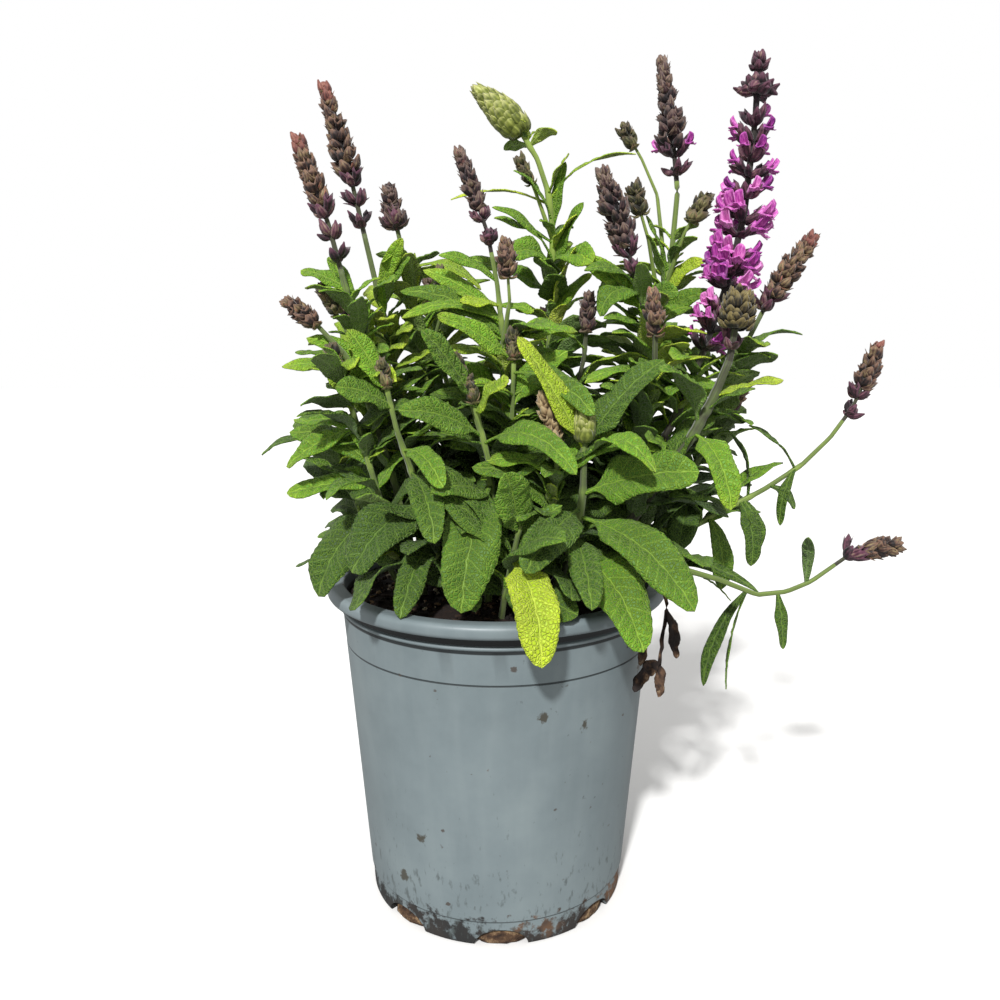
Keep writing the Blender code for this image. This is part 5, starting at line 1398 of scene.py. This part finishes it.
def dressSpike(shoot, name, path, row, stalk, rng):
    # a spike with a node of its own in the frame is a piece of its own; a small bud is part of its shoot
    kind = row["spike"][-1]
    if not kind:
        return growSpike(shoot, path, row, stalk, "maroon", rng, finishes["bud"])
    spike = emptyShape()
    start = growSpike(spike, path, row, stalk, kind, rng, finishes["cone"])
    sepal = sepals["bloom" if "bloom" in row else kind]
    skins = [sepal, corolla, stalkSkin, sepals["bloom"], sepals["ripe"]]
    finishPiece(f"{name}_head", spike, skins, [f"{name}_spike"], kind)
    return start


def dressStem(name, row):
    stem = dict(row, path=framePath(row["path"], True))
    path, radius = stem["path"], row["radius"] * mm
    rng = random.Random(f"dress {name}")
    age = stalkAge.get(name, 0.6)
    bm = emptyShape()
    tipRadius = radius * stalkShape["tipShare"]
    end = pathLengths(path)[-1]
    if row["spike"]:
        end = dressSpike(bm, name, path, row, tipRadius, rng) + spikeShape["foot"]
    if "bloom" in row:
        blooms = emptyShape()
        start = end - spikeShape["foot"] - row["bloom"] * mm
        growBloom(blooms, path, start, end, tipRadius, rng)
        skins = [sepals["bloom"], corolla, stalkSkin]
        finishPiece(f"{name}_flowers", blooms, skins, [f"{name}_bloom"], "bloom")
        end = start + spikeShape["foot"]
    heights = list(row["pairs"]) + [leaf[1] for leaf in placedLeaves if leaf[0] == name]
    joints = [jointDistance(stem, height) for height in heights]
    growStalk(bm, stretchOf(path, 0, end), radius, tipRadius, age, joints, rng)
    for i, branch in enumerate(row.get("branches", ())):
        origin = pointAt(path, distanceAtHeight(path, branch["start"] * mm))[0]
        route = framePath([origin / mm, *branch["path"]], False)
        thin = stalkShape["sideRadius"]
        thinTip = thin * stalkShape["tipShare"]
        start = dressSpike(bm, f"{name}_side_{i}", route, branch, thinTip, rng)
        growStalk(bm, stretchOf(route, 0, start + 1 * mm), thin, thinTip, age + 0.1, [], rng)
    leaves = growLeaves(bm, name, stem, rng)
    growTufts(bm, stem, rng)
    growFillers(bm, stem, rng)
    finishPiece(f"{name}_shoot", bm, [leafTop, leafUnder, stalkSkin, budBrown], [f"{name}_stem"], "leaf")
    return leaves


found = sum(dressStem(name, row) for name, row in stemTable.items())
print(f"stems dressed, {found} leaves found in the frame")


# Withered leaf

witheredShape = dict(
    stalk=((59, -36, 151), (64, -40, 167), (72, -42, 169), (77, -43, 157), (76, -43, 142), (74, -44, 128)),
    # share of the stalk, tip, arch and width
    blades=(
        (0.3, (66, -42, 128), 14, 9), (0.66, (81, -47, 133), 10, 6), (0.97, (61, -56, 121), 30, 7),
        (0.99, (73, -51, 116), 12, 6),
    ),
    radius=0.9 * mm, shrunk=0.85, crumples=((5 * mm, 1.3 * mm), (2 * mm, 0.4 * mm)), stiffAbove=150 * mm,
)


def dressWithered():
    path = framePath(witheredShape["stalk"], True)
    rng = random.Random("withered")
    bm = emptyShape()
    radius = witheredShape["radius"]
    growStalk(bm, path, radius, radius * 0.8, 0.1, [], rng)
    for share, tip, arch, width in witheredShape["blades"]:
        root = pointAt(path, pathLengths(path)[-1] * share)[0]
        wish = dict(
            wishTo(root, tip), arch=arch, tilt=60, width=width * mm * witheredShape["shrunk"],
            towards=Vector((0.5, -0.9, 0)), keeled=False,
        )
        growBlade(bm, middleBlade, bendLeaf(root, wish, unbent), "small", rng, 0.5)
    for vert in bm.verts:
        crumple = Vector()
        for size, depth in witheredShape["crumples"]:
            crumple += noise.noise_vector(vert.co / size) * depth
        vert.co += crumple * (1 if vert.co.z < witheredShape["stiffAbove"] else 0.25)
    for face in bm.faces:
        face.material_index = 0
    finishPiece("dead_leaf", bm, [deadLeaf], ["withered_leaf"], "withered")


dressWithered()
print("withered leaf hung")


# Pot

potSizes = dict(
    height=160 * mm, lipRadius=83 * mm, lipDepth=6.5 * mm, lipRound=2.6 * mm, footRadius=65.2 * mm,
    footHeight=12.7 * mm, taper=0.0797, wall=1.6 * mm, floor=2.4 * mm, steps=160, band=0.9 * mm,
    bandTop=148.6 * mm, bandLow=146.8 * mm, ring=130.7 * mm, ringHalf=0.55 * mm, ringDepth=0.4 * mm,
)
drainSizes = dict(
    count=8, width=25 * mm, height=8.5 * mm, reach=11 * mm, turn=2, soilInset=8.2 * mm, soilHeight=2.5 * mm,
    soil=(6.0, 12.8, 6.0),
)


def wallRadius(height):
    return potSizes["footRadius"] - 0.2 * mm + potSizes["taper"] * max(0.0, height - potSizes["footHeight"])


def boreRadius(height):
    low, high = potSizes["floor"] + 3 * mm, potSizes["height"] - potSizes["wall"]
    foot = potSizes["footRadius"] - potSizes["wall"] - 0.4 * mm
    mouth = wallRadius(potSizes["height"] - potSizes["lipDepth"]) - potSizes["wall"]
    return foot + (mouth - foot) * (height - low) / (high - low)


def arcPoints(x, z, radius, start, end, count):
    angles = [math.radians(angle) for angle in np.linspace(start, end, count)]
    return [(x + radius * math.cos(angle), z + radius * math.sin(angle)) for angle in angles]


def potProfile():
    # half the pot's section, from the middle of its floor up the bore, over the lip and down the wall
    top, lip, floor, wall, foot, step, ring, lipRound = (
        potSizes[key] for key in
        ("height", "lipRadius", "floor", "wall", "footRadius", "footHeight", "ring", "lipRound")
    )
    under = top - potSizes["lipDepth"]
    bore, corner = boreRadius(top - wall), boreRadius(floor + 3 * mm)
    profile = [(0, floor), (corner - 2.6 * mm, floor)]
    profile += arcPoints(corner - 2.6 * mm, floor + 2.8 * mm, 2.6 * mm, -70, -5, 4)
    profile += [(boreRadius(h * mm), h * mm) for h in (20, 60, 100, 140)] + [(bore, top - wall)]
    profile += arcPoints(bore + wall, top - wall, wall, 150, 95, 4)
    profile += arcPoints(lip - lipRound, top - lipRound, lipRound, 88, 2, 7)
    profile += arcPoints(lip - 2.2 * mm, under + 2.2 * mm, 2.2 * mm, -2, -85, 5)
    profile += [(bore + wall + 0.5 * mm, under), (bore + wall, under - 0.5 * mm)]
    bandTop, bandLow = potSizes["bandTop"], potSizes["bandLow"]
    profile += [(wallRadius(bandTop), bandTop + 0.3 * mm)]
    profile += arcPoints(wallRadius(bandTop), bandTop - 0.8 * mm, potSizes["band"], 70, -70, 7)
    profile += [(wallRadius(bandLow), bandLow - 0.3 * mm)]
    half, groove = potSizes["ringHalf"], wallRadius(ring) - potSizes["ringDepth"]
    profile += [(wallRadius(ring), ring + half), (groove, ring + 0.2 * mm)]
    profile += [(groove, ring - 0.2 * mm), (wallRadius(ring), ring - half)]
    profile += [(wallRadius(h * mm), h * mm) for h in (100, 60, 30)]
    profile += [(wallRadius(step), step + 0.5 * mm), (wallRadius(step) - 0.55 * mm, step)]
    profile += [(wallRadius(step) - 0.6 * mm, step - 0.7 * mm), (foot - 0.9 * mm, step - 1.6 * mm)]
    profile += [(foot - 1.3 * mm, 3 * mm)] + arcPoints(foot - 3.0 * mm, 1.6 * mm, 1.6 * mm, -10, -88, 5)
    return profile + [(foot - 8 * mm, 0), (0, 0)]


def drainTurns():
    step = 360 / drainSizes["count"]
    return [math.radians(drainSizes["turn"] - 90 + step * i) for i in range(drainSizes["count"])]


def cutDrains(pot):
    cutters = bpy.data.collections.new("drain_cutters")
    size = Matrix.Diagonal((drainSizes["height"], drainSizes["width"] / 2, 2 * drainSizes["reach"], 1))
    lying = Matrix.Translation((potSizes["footRadius"], 0, 0)) @ Matrix.Rotation(math.radians(90), 4, "Y")
    for i, angle in enumerate(drainTurns()):
        bm = bmesh.new()
        bmesh.ops.create_cone(bm, cap_ends=True, segments=40, radius1=1, radius2=1, depth=1)
        bm.transform(Matrix.Rotation(angle, 4, "Z") @ lying @ size)
        mesh = bpy.data.meshes.new(f"drain_{i}")
        bm.to_mesh(mesh)
        bm.free()
        cutters.objects.link(bpy.data.objects.new(f"drain_{i}", mesh))
    cut = pot.modifiers.new("drains", "BOOLEAN")
    cut.operation = "DIFFERENCE"
    cut.operand_type = "COLLECTION"
    cut.collection = cutters
    graph = bpy.context.evaluated_depsgraph_get()
    mesh = bpy.data.meshes.new_from_object(pot.evaluated_get(graph))
    pot.modifiers.clear()
    pot.data = mesh
    for cutter in list(cutters.objects):
        bpy.data.objects.remove(cutter, do_unlink=True)
    bpy.data.collections.remove(cutters)
    mesh.shade_smooth()
    mesh.set_sharp_from_angle(angle=math.radians(40))


def dressPot():
    bm = bmesh.new()
    verts = [bm.verts.new((r, 0, z)) for r, z in potProfile()]
    edges = [bm.edges.new(pair) for pair in zip(verts, verts[1:])]
    bmesh.ops.spin(
        bm, geom=verts + edges, cent=(0, 0, 0), axis=(0, 0, 1), angle=2 * math.pi,
        steps=potSizes["steps"], use_merge=True,
    )
    bmesh.ops.remove_doubles(bm, verts=bm.verts, dist=0.02 * mm)
    bmesh.ops.recalc_face_normals(bm, faces=bm.faces)
    cutDrains(finishPiece("nursery_pot", bm, [polythene], ["pot"], "pot"))


dressPot()
print("pot turned")


# Compost

compostShape = dict(
    level=151 * mm, mound=3.5 * mm, gap=0.3 * mm, cells=90, rough=1.5 * mm, crumbs=900, chips=90,
    sideTop=145 * mm, sideRings=10, shrink=3 * mm,
    chipShades=(0.3, 0.42, 0.5, 0.62, 0.72), crumbShades=(0.05, 0.1, 0.2, 0.3, 0.35, 0.45, 0.62, 0.85),
)


def compostTop(x, y):
    reach = math.hypot(x, y) / potSizes["lipRadius"]
    lumps = math.sin(x / (9 * mm) + 0.7) * math.cos(y / (11 * mm)) + 0.6 * math.sin((x - y) / (6 * mm))
    height = compostShape["level"] + compostShape["mound"] * (1 - reach * reach) + 0.8 * mm * lumps
    rough = noise.fractal(Vector((x, y, 0)) / (7 * mm), 0.8, 2.1, 4) * compostShape["rough"]
    return min(height + rough, potSizes["height"] - 3 * mm)


def fillSides(bm, tint):
    # from the rim of the top down along the bore to the floor
    rim = [e for e in bm.edges if e.is_boundary]
    top, low = compostShape["sideTop"], potSizes["floor"] + compostShape["gap"]
    last = compostShape["sideRings"] - 1
    for i in range(compostShape["sideRings"]):
        down = bmesh.ops.extrude_edge_only(bm, edges=rim)["geom"]
        height = top + (low - top) * (i / last) ** 0.5
        inset = boreRadius(height) - compostShape["gap"] - (compostShape["shrink"] if i == last else 0)
        for vert in [g for g in down if isinstance(g, bmesh.types.BMVert)]:
            flat = outwardOf(vert.co)
            pit = abs(noise.noise(Vector((flat.x * 9, flat.y * 9, height * 100))))
            vert.co = flat * (inset - 0.5 * mm * pit)
            vert.co.z = height
            vert[tint] = 0.45 + 0.35 * noise.noise(Vector((flat.x * 30, flat.y * 30, height * 900)))
        rim = [g for g in down if isinstance(g, bmesh.types.BMEdge)]
    bmesh.ops.holes_fill(bm, edges=rim)
    bmesh.ops.recalc_face_normals(bm, faces=bm.faces)


def strewCrumb(bm, tint, radius, rng, chip):
    # a crumb, or a flat chip of bark
    angle, reach = rng.uniform(0, 2 * math.pi), (radius - 3 * mm) * math.sqrt(rng.random())
    x, y = reach * math.cos(angle), reach * math.sin(angle)
    size = rng.uniform(0.6, 1.7) * mm
    if chip:
        sides = (rng.uniform(2.0, 4.5), rng.uniform(0.9, 1.8), rng.uniform(0.4, 0.7))
    else:
        sides = (1, rng.uniform(0.7, 1.2), rng.uniform(0.6, 0.9))
    turn = Matrix.Rotation(rng.uniform(0, 2 * math.pi), 4, "Z")
    for axis, tilt in (("X", 0.5), ("Y", 0.4)):
        turn = turn @ Matrix.Rotation(rng.uniform(-tilt, tilt), 4, axis)
    place = Matrix.Translation((x, y, compostTop(x, y) + size * 0.2)) @ turn @ Matrix.Diagonal((*sides, 1))
    made = bmesh.ops.create_icosphere(bm, subdivisions=1, radius=size, matrix=place)
    shade = rng.choice(compostShape["chipShades" if chip else "crumbShades"])
    for vert in made["verts"]:
        vert.co += noise.noise_vector(vert.co / (1.2 * mm)) * size * 0.35
        vert[tint] = shade


def fillDrain(bm, tint, angle):
    # roots and soil that show in a drain hole
    inward = potSizes["footRadius"] - drainSizes["soilInset"]
    place = Matrix.Translation((inward, 0, drainSizes["soilHeight"]))
    place = Matrix.Rotation(angle, 4, "Z") @ place @ Matrix.Diagonal((*drainSizes["soil"], 1))
    made = bmesh.ops.create_icosphere(bm, subdivisions=3, radius=mm, matrix=place)
    for vert in made["verts"]:
        fibre = noise.noise(Vector((vert.co.x, vert.co.y, vert.co.z * 4)) / (3.2 * mm))
        vert.co += noise.noise_vector(vert.co / (2.4 * mm)) * 0.7 * mm
        vert.co.z = max(vert.co.z, 0.2 * mm)
        vert[tint] = 0.5 + 0.45 * fibre


def dressCompost():
    rng = random.Random("compost")
    bm = emptyShape()
    tint = bm.verts.layers.float["tint"]
    cells = compostShape["cells"]
    bmesh.ops.create_grid(bm, x_segments=cells, y_segments=cells, size=1)
    radius = boreRadius(compostShape["level"]) - compostShape["gap"]
    for vert in bm.verts:
        x, y = vert.co.x, vert.co.y
        x, y = x * math.sqrt(1 - y * y / 2) * radius, y * math.sqrt(1 - x * x / 2) * radius
        vert.co = (x, y, compostTop(x, y))
        vert[tint] = 0.16 + 0.5 * max(0, noise.noise(vert.co / (4 * mm)) - 0.15)
    fillSides(bm, tint)
    for i in range(compostShape["crumbs"] + compostShape["chips"]):
        strewCrumb(bm, tint, radius, rng, i >= compostShape["crumbs"])
    for angle in drainTurns():
        fillDrain(bm, tint, angle)
    finishPiece("compost_fill", bm, [peat], ["compost"], "compost")


dressCompost()
print("compost filled")


# Floor, light and camera

studio = dict(
    floor="#f6f5f3", floorHalf=4, wall="#ffffff", key=3.5, keyAngle=4, keyTowards=(0.17, 0.75, -0.7),
    sky=0.62, bounce=0.3,
)
view = dict(place=(0.00163, -0.4331, 0.2781), down=10.6, lens=32.4, sensor=36)


def linkNew(name, data):
    obj = bpy.data.objects.new(name, data)
    bpy.context.scene.collection.objects.link(obj)
    return obj


def layFloor():
    # the floor looks pale to the camera and throws back less light than that
    bm = bmesh.new()
    bmesh.ops.create_grid(bm, x_segments=8, y_segments=8, size=studio["floorHalf"])
    mesh = bpy.data.meshes.new("floor")
    bm.to_mesh(mesh)
    bm.free()
    floor = linkNew("floor", mesh)
    material, tree, shader = newMaterial("studio floor, painted", Roughness=0.85)
    seen = addNode(tree, "ShaderNodeLightPath", {}).outputs["Is Camera Ray"]
    colour = blend(tree, seen, [studio["bounce"]] * 3 + [1], linear(studio["floor"]))
    tree.links.new(colour, shader.inputs["Base Color"])
    mesh.materials.append(material)


def lightStudio():
    # one fairly soft lamp, high in front; the pale wall fills the rest
    lamp = bpy.data.lights.new("key", "SUN")
    lamp.energy = studio["key"]
    lamp.angle = math.radians(studio["keyAngle"])
    key = linkNew("key", lamp)
    key.rotation_euler = Vector(studio["keyTowards"]).to_track_quat("-Z", "Y").to_euler()
    world = bpy.context.scene.world or bpy.data.worlds.new("studio")
    bpy.context.scene.world = world
    world.use_nodes = True
    tree = world.node_tree
    background = next(n for n in tree.nodes if n.bl_idname == "ShaderNodeBackground")
    background.inputs["Color"].default_value = linear(studio["wall"])
    seen = addNode(tree, "ShaderNodeLightPath", {}).outputs["Is Camera Ray"]
    tree.links.new(remap(tree, seen, 0, 1, studio["sky"], 1), background.inputs["Strength"])


def setCamera():
    camera = bpy.data.cameras.new("camera")
    camera.sensor_width = view["sensor"]
    camera.lens = view["lens"]
    camera.clip_start = 0.01
    obj = linkNew("camera", camera)
    obj.location = view["place"]
    obj.rotation_euler = (math.radians(90 - view["down"]), 0, 0)
    bpy.context.scene.camera = obj


layFloor()
lightStudio()
setCamera()
bpy.context.scene.view_settings.view_transform = "Standard"
